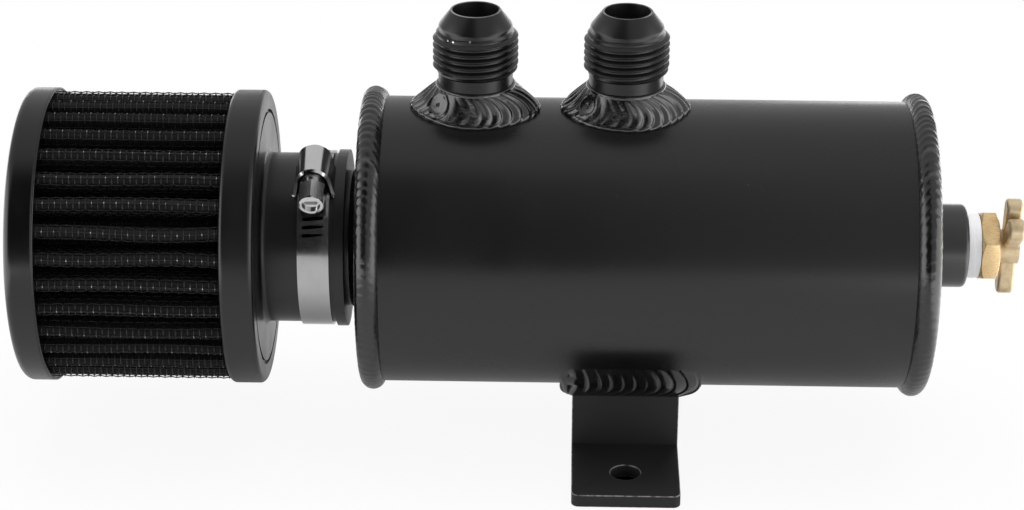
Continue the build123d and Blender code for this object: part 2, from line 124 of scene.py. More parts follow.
@dataclass(frozen=True)
class Extent:
    """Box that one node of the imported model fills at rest."""

    low: Vector
    high: Vector

    @staticmethod
    @lru_cache(maxsize=None)
    def of(node: str) -> "Extent":
        """Measure a node by its name, once."""
        return Extent(*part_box(node))

    @property
    def middle(self) -> Vector:
        """Centre of the box."""
        return (self.low + self.high) / 2

    @property
    def size(self) -> Vector:
        """Length of the box along each axis."""
        return self.high - self.low


@dataclass(frozen=True)
class CanAxis:
    """Line that the can, its ends, the filter and the drain are turned about."""

    y: float
    z: float
    can_radius: float

    @classmethod
    def measured(cls) -> "CanAxis":
        """Read the axis and the tube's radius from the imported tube."""
        tube = Extent.of("can_tube")
        return cls(tube.middle.y, tube.middle.z, tube.size.y / 2)

    def at(self, x: float, radius: float, turn: float) -> Vector:
        """Point beside the axis.

        Args:
            x: Station along the can.
            radius: Distance from the axis.
            turn: Share of a full turn, from the front (-Y) upwards.

        Returns:
            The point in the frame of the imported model.
        """
        angle = turn * FULL_TURN
        return Vector((x, self.y - radius * math.cos(angle), self.z + radius * math.sin(angle)))

    def skin_height(self, y: float, side: int) -> float:
        """Height of the can's skin over a point of the floor plan.

        Args:
            y: Place across the can.
            side: Its upper (1) or lower (-1) side.

        Returns:
            The height, or the axis's own beside the can.
        """
        reach = self.can_radius**2 - (y - self.y) ** 2
        return self.z + side * math.sqrt(max(reach, 0.0))

    def away(self, point: Vector) -> Vector:
        """Unit direction from the axis to a point."""
        return Vector((0, point.y - self.y, point.z - self.z)).normalized()


class ShaderSheet:
    """Node tree of one material, with short ways to add and join its nodes."""

    def __init__(self, name: str) -> None:
        """Start from a bare principled surface on object coordinates."""
        self.material = bpy.data.materials.new(name)
        self.material.use_nodes = True
        tree = self.material.node_tree
        self.nodes = tree.nodes
        self.links = tree.links
        self.surface = self.nodes["Principled BSDF"]
        self.spot = self.nodes.new("ShaderNodeTexCoord").outputs["Object"]

    def set(self, **values: float | tuple) -> None:
        """Set sockets of the surface that are the same all over.

        Args:
            values: Value of each socket, by its name with _ for a space.
        """
        for socket, value in values.items():
            self.surface.inputs[socket.replace("_", " ")].default_value = value

    def feed(self, socket: str, source: Socket) -> None:
        """Let a pattern drive one socket of the surface."""
        self.links.new(source, self.surface.inputs[socket])

    def stretched(self, scale: Sequence[float]) -> Socket:
        """Scale the object coordinates, for grain that runs one way.

        Args:
            scale: Scale along each axis.

        Returns:
            The scaled coordinates.
        """
        mapping = self.nodes.new("ShaderNodeMapping")
        mapping.inputs["Scale"].default_value = scale
        self.links.new(self.spot, mapping.inputs["Vector"])
        return mapping.outputs["Vector"]

    def noise(self, size: float, detail: float = 2.0, grain: Sequence[float] | None = None) -> Socket:
        """Soft noise.

        Args:
            size: Rough width of one blotch, in metres.
            detail: Octaves of finer noise on top.
            grain: Scale by axis where the blotches are drawn out.

        Returns:
            A value about 0.5 that runs from 0 to 1.
        """
        texture = self.nodes.new("ShaderNodeTexNoise")
        texture.inputs["Scale"].default_value = 1 / size
        texture.inputs["Detail"].default_value = detail
        source = self.spot if grain is None else self.stretched(grain)
        self.links.new(source, texture.inputs["Vector"])
        return texture.outputs["Fac"]

    def cells(self, size: float) -> Socket:
        """Scatter points over the surface.

        Args:
            size: How far they lie apart, in metres.

        Returns:
            The distance to the nearest one, in shares of size.
        """
        texture = self.nodes.new("ShaderNodeTexVoronoi")
        texture.inputs["Scale"].default_value = 1 / size
        self.links.new(self.spot, texture.inputs["Vector"])
        return texture.outputs["Distance"]

    def ramp(self, source: Socket, start: float, end: float, low: float, high: float) -> Socket:
        """Map a pattern's values softly, and hold them outside the given ones.

        Args:
            source: The pattern.
            start: Value that becomes low.
            end: Value that becomes high.
            low: Result at the start.
            high: Result at the end.

        Returns:
            The mapped pattern.
        """
        node = self.nodes.new("ShaderNodeMapRange")
        node.interpolation_type = "SMOOTHSTEP"
        limits = {"From Min": start, "From Max": end, "To Min": low, "To Max": high}
        for socket, value in limits.items():
            node.inputs[socket].default_value = value
        self.links.new(source, node.inputs["Value"])
        return node.outputs["Result"]

    def blend(self, share: Socket, first: tuple | Socket, second: tuple) -> Socket:
        """Mix two colours by a pattern.

        Args:
            share: Share of the second colour.
            first: Colour at 0, which may be a pattern itself.
            second: Colour at 1.

        Returns:
            The mixed colour.
        """
        node = self.nodes.new("ShaderNodeMix")
        node.data_type = "RGBA"
        self.links.new(share, node.inputs["Factor"])
        if isinstance(first, tuple):
            node.inputs["A"].default_value = first
        else:
            self.links.new(first, node.inputs["A"])
        node.inputs["B"].default_value = second
        return node.outputs["Result"]

    def sum(self, first: Socket, second: Socket, kind: str) -> Socket:
        """Join two patterns.

        Args:
            first: One pattern.
            second: The other one.
            kind: Name of the sum, such as MULTIPLY or MAXIMUM.

        Returns:
            The joined pattern.
        """
        node = self.nodes.new("ShaderNodeMath")
        node.operation = kind
        self.links.new(first, node.inputs[0])
        self.links.new(second, node.inputs[1])
        return node.outputs["Value"]

    def near(self, point: Vector, radius: float) -> Socket:
        """Mask a spot of the surface.

        Args:
            point: Its middle.
            radius: Where the mask ends.

        Returns:
            A mask that falls from 1 near the point to 0 at the radius.
        """
        node = self.nodes.new("ShaderNodeVectorMath")
        node.operation = "DISTANCE"
        self.links.new(self.spot, node.inputs[0])
        node.inputs[1].default_value = point
        return self.ramp(node.outputs["Value"], radius / 2, radius, 1.0, 0.0)

    def out_from(self, axis: CanAxis) -> Socket:
        """Measure how far the surface lies from the can's axis.

        Args:
            axis: The can's axis.

        Returns:
            The distance in metres.
        """
        shift = self.nodes.new("ShaderNodeVectorMath")
        shift.operation = "SUBTRACT"
        self.links.new(self.spot, shift.inputs[0])
        shift.inputs[1].default_value = (0, axis.y, axis.z)
        flat = self.nodes.new("ShaderNodeVectorMath")
        flat.operation = "MULTIPLY"
        self.links.new(shift.outputs["Vector"], flat.inputs[0])
        flat.inputs[1].default_value = (0, 1, 1)
        length = self.nodes.new("ShaderNodeVectorMath")
        length.operation = "LENGTH"
        self.links.new(flat.outputs["Vector"], length.inputs[0])
        return length.outputs["Value"]

    def painted(self, name: str) -> Socket:
        """Read a value that the mesh itself carries.

        Args:
            name: Name of the mesh's attribute.

        Returns:
            The value.
        """
        node = self.nodes.new("ShaderNodeAttribute")
        node.attribute_name = name
        return node.outputs["Fac"]

    def relief(self, height: Socket, depth: float, strength: float = 1.0) -> None:
        """Press a pattern into the surface.

        Args:
            height: Pattern from 0 to 1.
            depth: What 1 stands for, in metres.
            strength: Share of that relief that shows.
        """
        node = self.nodes.new("ShaderNodeBump")
        node.inputs["Distance"].default_value = depth
        node.inputs["Strength"].default_value = strength
        self.links.new(height, node.inputs["Height"])
        self.feed("Normal", node.outputs["Normal"])


def grey(value: float) -> tuple[float, float, float, float]:
    """Neutral colour of one linear value."""
    return (value, value, value, 1.0)


@dataclass(frozen=True)
class Finish:
    """A surface finish: each kind says how its material is made."""

    name: str

    def material(self) -> bpy.types.Material:
        """Make the material once, and hand out the same one after that."""
        found = bpy.data.materials.get(self.name)
        return found or self.make()

    def make(self) -> bpy.types.Material:
        """Build the material's nodes."""
        raise NotImplementedError


@dataclass(frozen=True)
class SatinBlack(Finish):
    """Black anodised aluminium: fine grain, hazy patches, dust specks, nicks, and rubbed edges whose
    exposed metal is partly wear and partly a painted highlight.
    """

    colour: float = 0.004
    haze: float = 0.002
    sheen: Span = (0.24, 0.3)
    shine: float = 0.5
    patch: float = 26 * MM
    grain: float = 0.22 * MM
    grain_depth: float = 0.004 * MM
    speck_spacing: float = 9 * MM
    speck_share: float = 0.03
    speck_colour: float = 0.06
    nicks: tuple[Triple, ...] = ()
    nick_radius: float = 0.4 * MM
    bare_and_highlight_colour: float = 0.75
    # Exposed metal on marked edges: partly wear, partly a painted edge highlight
    rubbed: float = 0.0
    rubbed_highlight_patch: float = 1.4 * MM
    rubbed_highlight_edges: Span = (0.3, 0.62)

    def make(self) -> bpy.types.Material:
        """Build the anodised surface."""
        sheet = ShaderSheet(self.name)
        patches = sheet.noise(self.patch, detail=3.0)
        tone = sheet.blend(patches, grey(self.colour), grey(self.colour + self.haze))
        specks = sheet.ramp(sheet.cells(self.speck_spacing), 0.0, self.speck_share, 1.0, 0.0)
        tone = sheet.blend(specks, tone, grey(self.speck_colour))
        bare_and_highlight = self.bare_and_highlight_places(sheet)
        if bare_and_highlight:
            tone = sheet.blend(bare_and_highlight, tone, grey(self.bare_and_highlight_colour))
            sheet.feed("Metallic", bare_and_highlight)
        sheet.feed("Base Color", tone)
        sheet.feed("Roughness", sheet.ramp(patches, *BLOTCHES, *self.sheen))
        sheet.relief(sheet.noise(self.grain, detail=2.0), self.grain_depth)
        sheet.set(Specular_IOR_Level=self.shine)
        return sheet.material

    def bare_and_highlight_places(self, sheet: ShaderSheet) -> Socket | None:
        """Where the black is gone and the metal shows: nicks, and rubbed edges that are partly wear and
        partly a painted highlight.

        Args:
            sheet: The material in the making.

        Returns:
            A mask from 0 to 1, or nothing where the black is whole.
        """
        masks = [sheet.near(Vector(nick), self.nick_radius) for nick in self.nicks]
        if self.rubbed:
            patches = sheet.noise(self.rubbed_highlight_patch, detail=3.0)
            broken = sheet.ramp(patches, *self.rubbed_highlight_edges, 0.0, self.rubbed)
            masks.append(sheet.sum(sheet.painted(EDGE_MARK), broken, "MULTIPLY"))
        bare_and_highlight = None
        for mask in masks:
            bare_and_highlight = mask if bare_and_highlight is None else sheet.sum(bare_and_highlight, mask, "MAXIMUM")
        return bare_and_highlight


@dataclass(frozen=True)
class WeldBlack(Finish):
    """Anodised weld metal: glossier than the can, with a skin of fine pits and slow waves, and lighter
    grey painted on each ripple's crest as a painted highlight.
    """

    colour: float = 0.004
    haze: float = 0.005
    sheen: Span = (0.18, 0.3)
    shine: float = 0.65
    # Lighter grey on each ripple's crest: a painted highlight
    crest_highlight_colour: float = 0.03
    crest_highlight_edges: Span = (0.55, 0.85)
    patch: float = 4.5 * MM
    wave: float = 1.1 * MM
    wave_depth: float = 0.05 * MM
    pit: float = 0.35 * MM
    pit_share: float = 0.12
    pit_edges: Span = (0.55, 0.8)

    def make(self) -> bpy.types.Material:
        """Build the weld's surface."""
        sheet = ShaderSheet(self.name)
        patches = sheet.noise(self.patch, detail=2.0)
        tone = sheet.blend(patches, grey(self.colour), grey(self.colour + self.haze))
        # Painted highlight: the colour turns lighter grey towards each ripple's crest
        crest_highlights = sheet.ramp(sheet.painted(CREST_HIGHLIGHT_MARK), *self.crest_highlight_edges, 0.0, 1.0)
        sheet.feed("Base Color", sheet.blend(crest_highlights, tone, grey(self.crest_highlight_colour)))
        sheet.feed("Roughness", sheet.ramp(patches, *BLOTCHES, *self.sheen))
        waves = sheet.noise(self.wave, detail=2.0)
        pits = sheet.ramp(sheet.noise(self.pit, detail=1.0), *self.pit_edges, 0.0, self.pit_share)
        sheet.relief(sheet.sum(waves, pits, "SUBTRACT"), self.wave_depth)
        sheet.set(Specular_IOR_Level=self.shine)
        return sheet.material


@dataclass(frozen=True)
class MouldedRubber(Finish):
    """Moulded black rubber: semi-gloss skin with flow marks and a dusting of lint."""

    colour: float = 0.002
    bloom: float = 0.002
    sheen: Span = (0.2, 0.3)
    flow: float = 14 * MM
    flow_grain: Triple = (1.0, 0.5, 0.5)
    ripple: float = 2.6 * MM
    ripple_depth: float = 0.012 * MM
    lint_spacing: float = 6 * MM
    lint_share: float = 0.03
    lint_colour: float = 0.06

    def make(self) -> bpy.types.Material:
        """Build the rubber's surface."""
        sheet = ShaderSheet(self.name)
        flow = sheet.noise(self.flow, detail=3.0, grain=self.flow_grain)
        tone = sheet.blend(flow, grey(self.colour), grey(self.colour + self.bloom))
        lint = sheet.ramp(sheet.cells(self.lint_spacing), 0.0, self.lint_share, 1.0, 0.0)
        sheet.feed("Base Color", sheet.blend(lint, tone, grey(self.lint_colour)))
        sheet.feed("Roughness", sheet.ramp(flow, *BLOTCHES, *self.sheen))
        sheet.relief(sheet.noise(self.ripple, detail=2.0), self.ripple_depth)
        return sheet.material


@dataclass(frozen=True)
class FilterCloth(Finish):
    """Black oiled cotton of the filter sheet, a plain weave under the wire."""

    colour: float = 0.006
    faded: float = 0.014
    thread: float = 0.5 * MM
    thread_depth: float = 0.12 * MM
    thread_strength: float = 0.6
    dust: float = 7 * MM
    roughness: float = 0.85
    shine: float = 0.2
    fuzz: float = 0.05

    def make(self) -> bpy.types.Material:
        """Build the woven cloth."""
        sheet = ShaderSheet(self.name)
        dust = sheet.noise(self.dust, detail=4.0)
        sheet.feed("Base Color", sheet.blend(dust, grey(self.colour), grey(self.faded)))
        weave = sheet.sum(self.threads(sheet, "X"), self.threads(sheet, "Z"), "MULTIPLY")
        sheet.relief(weave, self.thread_depth, self.thread_strength)
        sheet.set(Roughness=self.roughness, Specular_IOR_Level=self.shine, Sheen_Weight=self.fuzz)
        return sheet.material

    def threads(self, sheet: ShaderSheet, direction: str) -> Socket:
        """Lay one set of threads.

        Args:
            sheet: The material in the making.
            direction: Axis that the threads are spaced along.

        Returns:
            A wave from 0 to 1.
        """
        waves_per_unit = 10
        wave = sheet.nodes.new("ShaderNodeTexWave")
        wave.bands_direction = direction
        wave.inputs["Scale"].default_value = 1 / self.thread / waves_per_unit
        sheet.links.new(sheet.spot, wave.inputs["Vector"])
        return wave.outputs["Fac"]


@dataclass(frozen=True)
class CoatedWire(Finish):
    """Black lacquered wire, with uncoated metal painted on where it stands furthest out as painted
    glints.
    """

    colour: float = 0.006
    thin: float = 0.02
    worn_edges: Span = (0.5, 0.75)
    sheen: Span = (0.24, 0.42)
    patch: float = 1.3 * MM
    bare_and_highlight_colour: float = 0.7
    # Painted glints: a bright metal colour on the wire's outermost points stands in for highlights
    glint_from: float = 0.0
    glint_depth: float = 0.06 * MM
    glint_edges: Span = (0.4, 0.62)
    glint_least: float = 0.1

    def make(self) -> bpy.types.Material:
        """Build the lacquer."""
        sheet = ShaderSheet(self.name)
        patches = sheet.noise(self.patch, detail=2.0)
        worn = sheet.ramp(patches, *self.worn_edges, 0.0, 1.0)
        tone = sheet.blend(worn, grey(self.colour), grey(self.thin))
        # Painted highlight: points furthest from the axis take a bright metal colour
        if self.glint_from:
            far = sheet.out_from(CanAxis.measured())
            crown_glints = sheet.ramp(far, self.glint_from, self.glint_from + self.glint_depth, 0.0, 1.0)
            broken = sheet.ramp(patches, *self.glint_edges, self.glint_least, 1.0)
            crown_glints = sheet.sum(crown_glints, broken, "MULTIPLY")
            tone = sheet.blend(crown_glints, tone, grey(self.bare_and_highlight_colour))
            sheet.feed("Metallic", crown_glints)
        sheet.feed("Base Color", tone)
        sheet.feed("Roughness", sheet.ramp(patches, *BLOTCHES, *self.sheen))
        return sheet.material


@dataclass(frozen=True)
class BrightSteel(Finish):
    """Rolled stainless steel: fine drawn lines along the strip, faint smudges and painted shade in its
    slots.
    """

    colour: float = 0.72
    smudged: float = 0.58
    # Near black for the slot faces: painted shade
    slot_shade: float = 0.008
    sheen: Span = (0.16, 0.24)
    line: float = 0.12 * MM
    line_depth: float = 0.0006 * MM
    smudge: float = 5 * MM
    grain: Triple = (1.0, 0.03, 0.03)

    def make(self) -> bpy.types.Material:
        """Build the drawn steel."""
        sheet = ShaderSheet(self.name)
        lines = sheet.noise(self.line, detail=1.0, grain=self.grain)
        smudges = sheet.noise(self.smudge, detail=3.0)
        tone = sheet.blend(smudges, grey(self.colour), grey(self.smudged))
        # Painted shade: the marked slot faces turn near black
        sheet.feed("Base Color", sheet.blend(sheet.painted(SLOT_SHADE_MARK), tone, grey(self.slot_shade)))
        rubbed = sheet.sum(lines, smudges, "MULTIPLY")
        sheet.feed("Roughness", sheet.ramp(rubbed, *DRAWN_LINES, *self.sheen))
        sheet.relief(lines, self.line_depth)
        sheet.set(Metallic=1.0)
        return sheet.material


@dataclass(frozen=True)
class Brass(Finish):
    """Brass with tool lines, duller stains and a few coppery patches."""

    colour: Triple = (0.78, 0.57, 0.3)
    stain: Triple = (0.68, 0.45, 0.21)
    copper: Triple = (0.72, 0.4, 0.2)
    copper_from: float = 0.7
    copper_soft: float = 0.08
    copper_size: float = 2.8 * MM
    sheen: Span = (0.24, 0.4)
    stain_size: float = 4 * MM
    stain_edges: Span = (0.45, 0.75)
    line: float = 0.18 * MM
    line_depth: float = 0.003 * MM
    grain: Triple = (0.12, 1.0, 1.0)
    metal: float = 0.6

    def make(self) -> bpy.types.Material:
        """Build the brass surface."""
        sheet = ShaderSheet(self.name)
        stains = sheet.noise(self.stain_size, detail=4.0)
        stained = sheet.ramp(stains, *self.stain_edges, 0.0, 1.0)
        tone = sheet.blend(stained, (*self.colour, 1.0), (*self.stain, 1.0))
        patches = sheet.noise(self.copper_size, detail=1.0)
        patches = sheet.ramp(patches, self.copper_from, self.copper_from + self.copper_soft, 0.0, 1.0)
        sheet.feed("Base Color", sheet.blend(patches, tone, (*self.copper, 1.0)))
        lines = sheet.noise(self.line, detail=2.0, grain=self.grain)
        dulled = sheet.sum(lines, stains, "MULTIPLY")
        sheet.feed("Roughness", sheet.ramp(dulled, *DRAWN_LINES, *self.sheen))
        sheet.relief(lines, self.line_depth)
        sheet.set(Metallic=self.metal)
        return sheet.material


@dataclass(frozen=True)
class SealTape(Finish):
    """White thread tape: matt film with a cool tint where it lies double."""

    colour: Triple = (0.97, 0.97, 0.97)
    doubled: Triple = (0.92, 0.93, 0.97)
    band: float = 1.6 * MM
    band_grain: Triple = (1.0, 0.2, 0.2)
    crease: float = 0.4 * MM
    crease_grain: Triple = (1.0, 0.25, 0.25)
    crease_depth: float = 0.03 * MM
    roughness: float = 0.55
    shine: float = 0.3

    def make(self) -> bpy.types.Material:
        """Build the film."""
        sheet = ShaderSheet(self.name)
        bands = sheet.noise(self.band, detail=2.0, grain=self.band_grain)
        sheet.feed("Base Color", sheet.blend(bands, (*self.colour, 1.0), (*self.doubled, 1.0)))
        creases = sheet.noise(self.crease, detail=2.0, grain=self.crease_grain)
        sheet.relief(creases, self.crease_depth)
        sheet.set(Roughness=self.roughness, Specular_IOR_Level=self.shine)
        return sheet.material


ANODISED = SatinBlack("satin_black_anodised")
# Rubbed edges of the bracket: partly wear, partly a painted edge highlight
BRACKET_BLACK = SatinBlack(
    "bracket_satin_black",
    colour=0.019,
    haze=0.004,
    sheen=(0.5, 0.6),
    shine=0.3,
    speck_spacing=6 * MM,
    speck_colour=0.12,
    rubbed=0.4,
)
# Rubbed lip of the fittings: partly wear, partly a painted highlight ring round the bore
FITTING_BLACK = SatinBlack(
    "fitting_satin_black",
    colour=0.006,
    haze=0.003,
    sheen=(0.26, 0.34),
    shine=0.38,
    speck_share=0.015,
    rubbed=0.3,
    rubbed_highlight_patch=8 * MM,
)
NICKED_BLACK = replace(
    FITTING_BLACK,
    name="nicked_fitting_black",
    nicks=(
        (-47.55 * MM, 26.0 * MM, 114.46 * MM),
        (-46.14 * MM, 24.9 * MM, 114.5 * MM),
        (-41.7 * MM, 23.8 * MM, 114.9 * MM),
    ),
)
BUNG_BLACK = replace(FITTING_BLACK, name="bung_satin_black", colour=0.012, haze=0.004, shine=0.75)
WELD = WeldBlack("weld_black")
PORT_WELD = WeldBlack("port_weld_black", sheen=(0.14, 0.24), shine=0.85, crest_highlight_colour=0.06)
BRACKET_WELD = WeldBlack("bracket_weld_black", sheen=(0.14, 0.26), shine=0.8, crest_highlight_colour=0.1)
RUBBER = MouldedRubber("moulded_black_rubber")
FLANGE_RUBBER = MouldedRubber("flange_black_rubber", colour=0.0015, bloom=0.002, sheen=(0.28, 0.38))
CLOTH = FilterCloth("black_filter_cotton")
# Lengthwise wires: a darker copy of the lacquer, painted shade where they lie under the round wires
SHADE_DARKENED_WIRE = CoatedWire("shade_darkened_black_wire", colour=0.003, thin=0.006, sheen=(0.5, 0.7))
# Round wires, with painted glints where they stand furthest out
GLINT_PAINTED_WIRE = CoatedWire("glint_painted_black_wire", glint_from=38.17 * MM)
STEEL = BrightSteel("bright_clamp_steel")
# The band's steel is a darker copy of the clamp steel: painted shade that dims the band's reflections
SHADE_DARKENED_BAND_STEEL = BrightSteel("shade_darkened_clamp_band_steel", colour=0.45, smudged=0.37)
BRASS = Brass("machined_brass")
HANDLE_BRASS = Brass(
    "cast_handle_brass",
    colour=(0.66, 0.53, 0.34),
    stain=(0.45, 0.34, 0.19),
    copper=(0.7, 0.42, 0.22),
    copper_from=0.66,
    sheen=(0.36, 0.52),
    line=0.3 * MM,
    line_depth=0.02 * MM,
    grain=(1.0, 1.0, 1.0),
)
TAPE = SealTape("white_seal_tape")


class Workpiece:
    """A mesh in the making, which ends as one piece of the object."""

    def __init__(self, name: str) -> None:
        """Start with an empty mesh."""
        self.name = name
        self.mesh = bmesh.new()

    @classmethod
    def copied(cls, name: str, node: str, flat_within: float = 1.0) -> "Workpiece":
        """Start from a merged copy of a node, with its flat faces made whole.

        Args:
            name: Name of the new piece.
            node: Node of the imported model.
            flat_within: Faces that meet within this angle, in degrees, become one.

        Returns:
            The workpiece.
        """
        piece = cls(name)
        piece.mesh.from_mesh(frame["nodes"][node].data)
        bmesh.ops.remove_doubles(piece.mesh, verts=piece.mesh.verts, dist=MERGE_DISTANCE)
        bmesh.ops.dissolve_limit(
            piece.mesh,
            angle_limit=math.radians(flat_within),
            verts=piece.mesh.verts,
            edges=piece.mesh.edges,
        )
        return piece

    def drum(self, around: int, rungs: int) -> None:
        """Add an open drum of radius 1 from height 0 to 1, as a grid to be placed.

        Args:
            around: Faces round the drum.
            rungs: Faces from its foot to its top.
        """
        bmesh.ops.create_cone(
            self.mesh,
            cap_ends=False,
            segments=around,
            radius1=1,
            radius2=1,
            depth=1,
            matrix=Matrix.Translation((0, 0, 0.5)),
        )
        uprights = [e for e in self.mesh.edges if abs(e.verts[0].co.z - e.verts[1].co.z) > 0.5]
        bmesh.ops.subdivide_edges(self.mesh, edges=uprights, cuts=rungs - 1, use_grid_fill=True)

    def place(self, where: Place, rise: Rise | None = None) -> None:
        """Move each point of a drum to its place, then out along its normal.

        Args:
            where: Gives a place for a turn and a height, each from 0 to 1.
            rise: Gives how far a point stands out, for the same two values.
        """
        # Share of the tallest rise at each point, read by the weld finish for its painted crest
        # highlight
        crest = self.mesh.verts.layers.float.new(CREST_HIGHLIGHT_MARK)
        spots = []
        for vert in self.mesh.verts:
            turn = math.atan2(vert.co.y, vert.co.x) / FULL_TURN % 1.0
            spots.append((vert, turn, vert.co.z))
        for vert, turn, height in spots:
            vert.co = where(turn, height)
        bmesh.ops.recalc_face_normals(self.mesh, faces=self.mesh.faces)
        if rise is None:
            return
        self.mesh.normal_update()
        rises = [rise(turn, height) for _, turn, height in spots]
        tallest = max(rises)
        moves = [vert.normal * up for (vert, _, _), up in zip(spots, rises)]
        for (vert, _, _), up, move in zip(spots, rises, moves):
            vert.co += move
            vert[crest] = up / tallest

    def close_rims(self) -> None:
        """Join the two open rims, behind the face that shows."""
        rims = [e for e in self.mesh.edges if e.is_boundary]
        bmesh.ops.bridge_loops(self.mesh, edges=rims)

    def loop(self, points: Sequence[Vector]) -> list[bmesh.types.BMVert | bmesh.types.BMEdge]:
        """Add a closed outline.

        Args:
            points: Its points in order.

        Returns:
            The new points and edges.
        """
        verts = [self.mesh.verts.new(p) for p in points]
        edges = [self.mesh.edges.new((a, b)) for a, b in zip(verts, verts[1:] + verts[:1])]
        return verts + edges

    def lathe(self, points: Sequence[Vector], centre: Vector, axis: Vector, steps: int) -> None:
        """Turn a closed outline about an axis into a ring.

        Args:
            points: The outline.
            centre: A point of the axis.
            axis: Unit direction of the axis.
            steps: Faces round the ring.
        """
        bmesh.ops.spin(
            self.mesh,
            geom=self.loop(points),
            cent=centre,
            axis=axis,
            dvec=(0, 0, 0),
            angle=FULL_TURN,
            steps=steps,
            use_merge=True,
        )
        bmesh.ops.remove_doubles(self.mesh, verts=self.mesh.verts, dist=MERGE_DISTANCE)

    def helix(
        self, section: Sequence[Vector], centre: Vector, pitch: float, turns: float, steps: int
    ) -> list[bmesh.types.BMVert]:
        """Sweep a closed section up a right-hand helix, and close its ends.

        Args:
            section: Outline at the start, in a plane through the axis.
            centre: A point of the upright axis.
            pitch: Climb in one turn.
            turns: Number of turns.
            steps: Faces in one turn.

        Returns:
            The points of the ridge.
        """
        before = set(self.mesh.verts)
        count = round(turns * steps)
        bmesh.ops.spin(
            self.mesh,
            geom=self.loop(section),
            cent=centre,
            axis=UP,
            dvec=UP * (pitch / steps),
            angle=FULL_TURN * count / steps,
            steps=count,
            use_merge=False,
        )
        ridge = [v for v in self.mesh.verts if v not in before]
        ends = {e for v in ridge for e in v.link_edges if e.is_boundary}
        bmesh.ops.holes_fill(self.mesh, edges=list(ends), sides=0)
        return ridge

    def round_edges(self, width: float, steps: int = 2, sharper_than: float = 25.0) -> None:
        """Round the sharp outer edges, and mark the new faces.

        Args:
            width: Width of the rounding.
            steps: Faces across it.
            sharper_than: Least angle of an edge that is rounded, in degrees.
        """
        limit = math.radians(sharper_than)
        mark = self.mesh.faces.layers.float.new(EDGE_MARK)
        joints = [e for e in self.mesh.edges if len(e.link_faces) == 2]
        sharp = [e for e in joints if e.calc_face_angle() > limit and e.is_convex]
        for face in self.bevel(sharp, width, steps):
            face[mark] = 1.0

    def round_rings(self, rings: Sequence[Triple], centre: Vector) -> None:
        """Round edges of a ring that is turned about an upright axis.

        Args:
            rings: Height, radius and rounding of each edge.
            centre: The point of the axis that heights are counted from.
        """
        close = 4 * MERGE_DISTANCE
        for height, radius, width in rings:
            edges = []
            for edge in self.mesh.edges:
                offsets = [v.co - centre for v in edge.verts]
                misses = [abs(o.z - height) + abs(o.xy.length - radius) for o in offsets]
                if max(misses) < close:
                    edges.append(edge)
            self.bevel(edges, width, 3)

    def bevel(
        self, edges: list[bmesh.types.BMEdge], width: float, steps: int
    ) -> list[bmesh.types.BMFace]:
        """Round the given edges.

        Args:
            edges: The edges.
            width: Width of the rounding.
            steps: Faces across it.

        Returns:
            The faces that this makes.
        """
        made = bmesh.ops.bevel(
            self.mesh,
            geom=edges,
            offset=width,
            offset_type="OFFSET",
            segments=steps,
            profile=0.5,
            affect="EDGES",
            clamp_overlap=True,
            material=-1,
        )
        return made["faces"]

    def finish(
        self,
        look: Finish,
        body: Body,
        slot: Slot,
        stands_for: Sequence[str] = (),
        crease: float = 32.0,
        merge: bool = True,
    ) -> None:
        """Close the mesh and put it on the object as a piece.

        Args:
            look: Finish of its surface.
            body: Body that it rides on.
            slot: Material slot of the record that it belongs to.
            stands_for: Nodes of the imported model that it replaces.
            crease: Edges sharper than this angle, in degrees, shade as edges.
            merge: Whether points that lie together become one.
        """
        if merge:
            bmesh.ops.remove_doubles(self.mesh, verts=self.mesh.verts, dist=MERGE_DISTANCE)
        bmesh.ops.recalc_face_normals(self.mesh, faces=self.mesh.faces)
        limit = math.radians(crease)
        for face in self.mesh.faces:
            face.smooth = True
        for edge in self.mesh.edges:
            edge.smooth = len(edge.link_faces) != 2 or edge.calc_face_angle() < limit
        data = bpy.data.meshes.new(self.name)
        self.mesh.to_mesh(data)
        self.mesh.free()
        put_on(self.name, data, look, body, slot, stands_for)


def put_on(
    name: str, data: bpy.types.Mesh, look: Finish, body: Body, slot: Slot, stands_for: Sequence[str]
) -> None:
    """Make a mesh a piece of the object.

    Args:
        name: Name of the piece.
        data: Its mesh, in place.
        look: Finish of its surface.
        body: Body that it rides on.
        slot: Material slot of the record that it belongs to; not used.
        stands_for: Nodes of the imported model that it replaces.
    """
    data.materials.clear()
    data.materials.append(look.material())
    piece = bpy.data.objects.new(name, data)
    bpy.context.scene.collection.objects.link(piece)
    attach(piece, body.value)
    if stands_for:
        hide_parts(*stands_for)
    log.info("%s: %d faces on %s", name, len(data.polygons), body.value)


def dress(node: str, look: Finish) -> None:
    """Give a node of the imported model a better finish, and keep its shape.

    Args:
        node: Name of the node.
        look: Finish of its surface.
    """
    for slot in frame["nodes"][node].material_slots:
        slot.material = look.material()
    log.info("%s: keeps its shape, finish %s", node, look.name)


def wobble(number: float, seed: float) -> float:
    """Repeatable scatter from -1 to 1 for a numbered feature."""
    return math.sin(number * 12.9898 + seed * 78.233) * math.cos(number * 4.1414 + seed)


def ease(start: float, end: float, value: float) -> float:
    """Step smoothly from 0 to 1.

    Args:
        start: Where the step begins.
        end: Where it ends.
        value: The place asked for.

    Returns:
        The height of the step there.
    """
    share = min(max((value - start) / (end - start), 0.0), 1.0)
    return share * share * (3 - 2 * share)


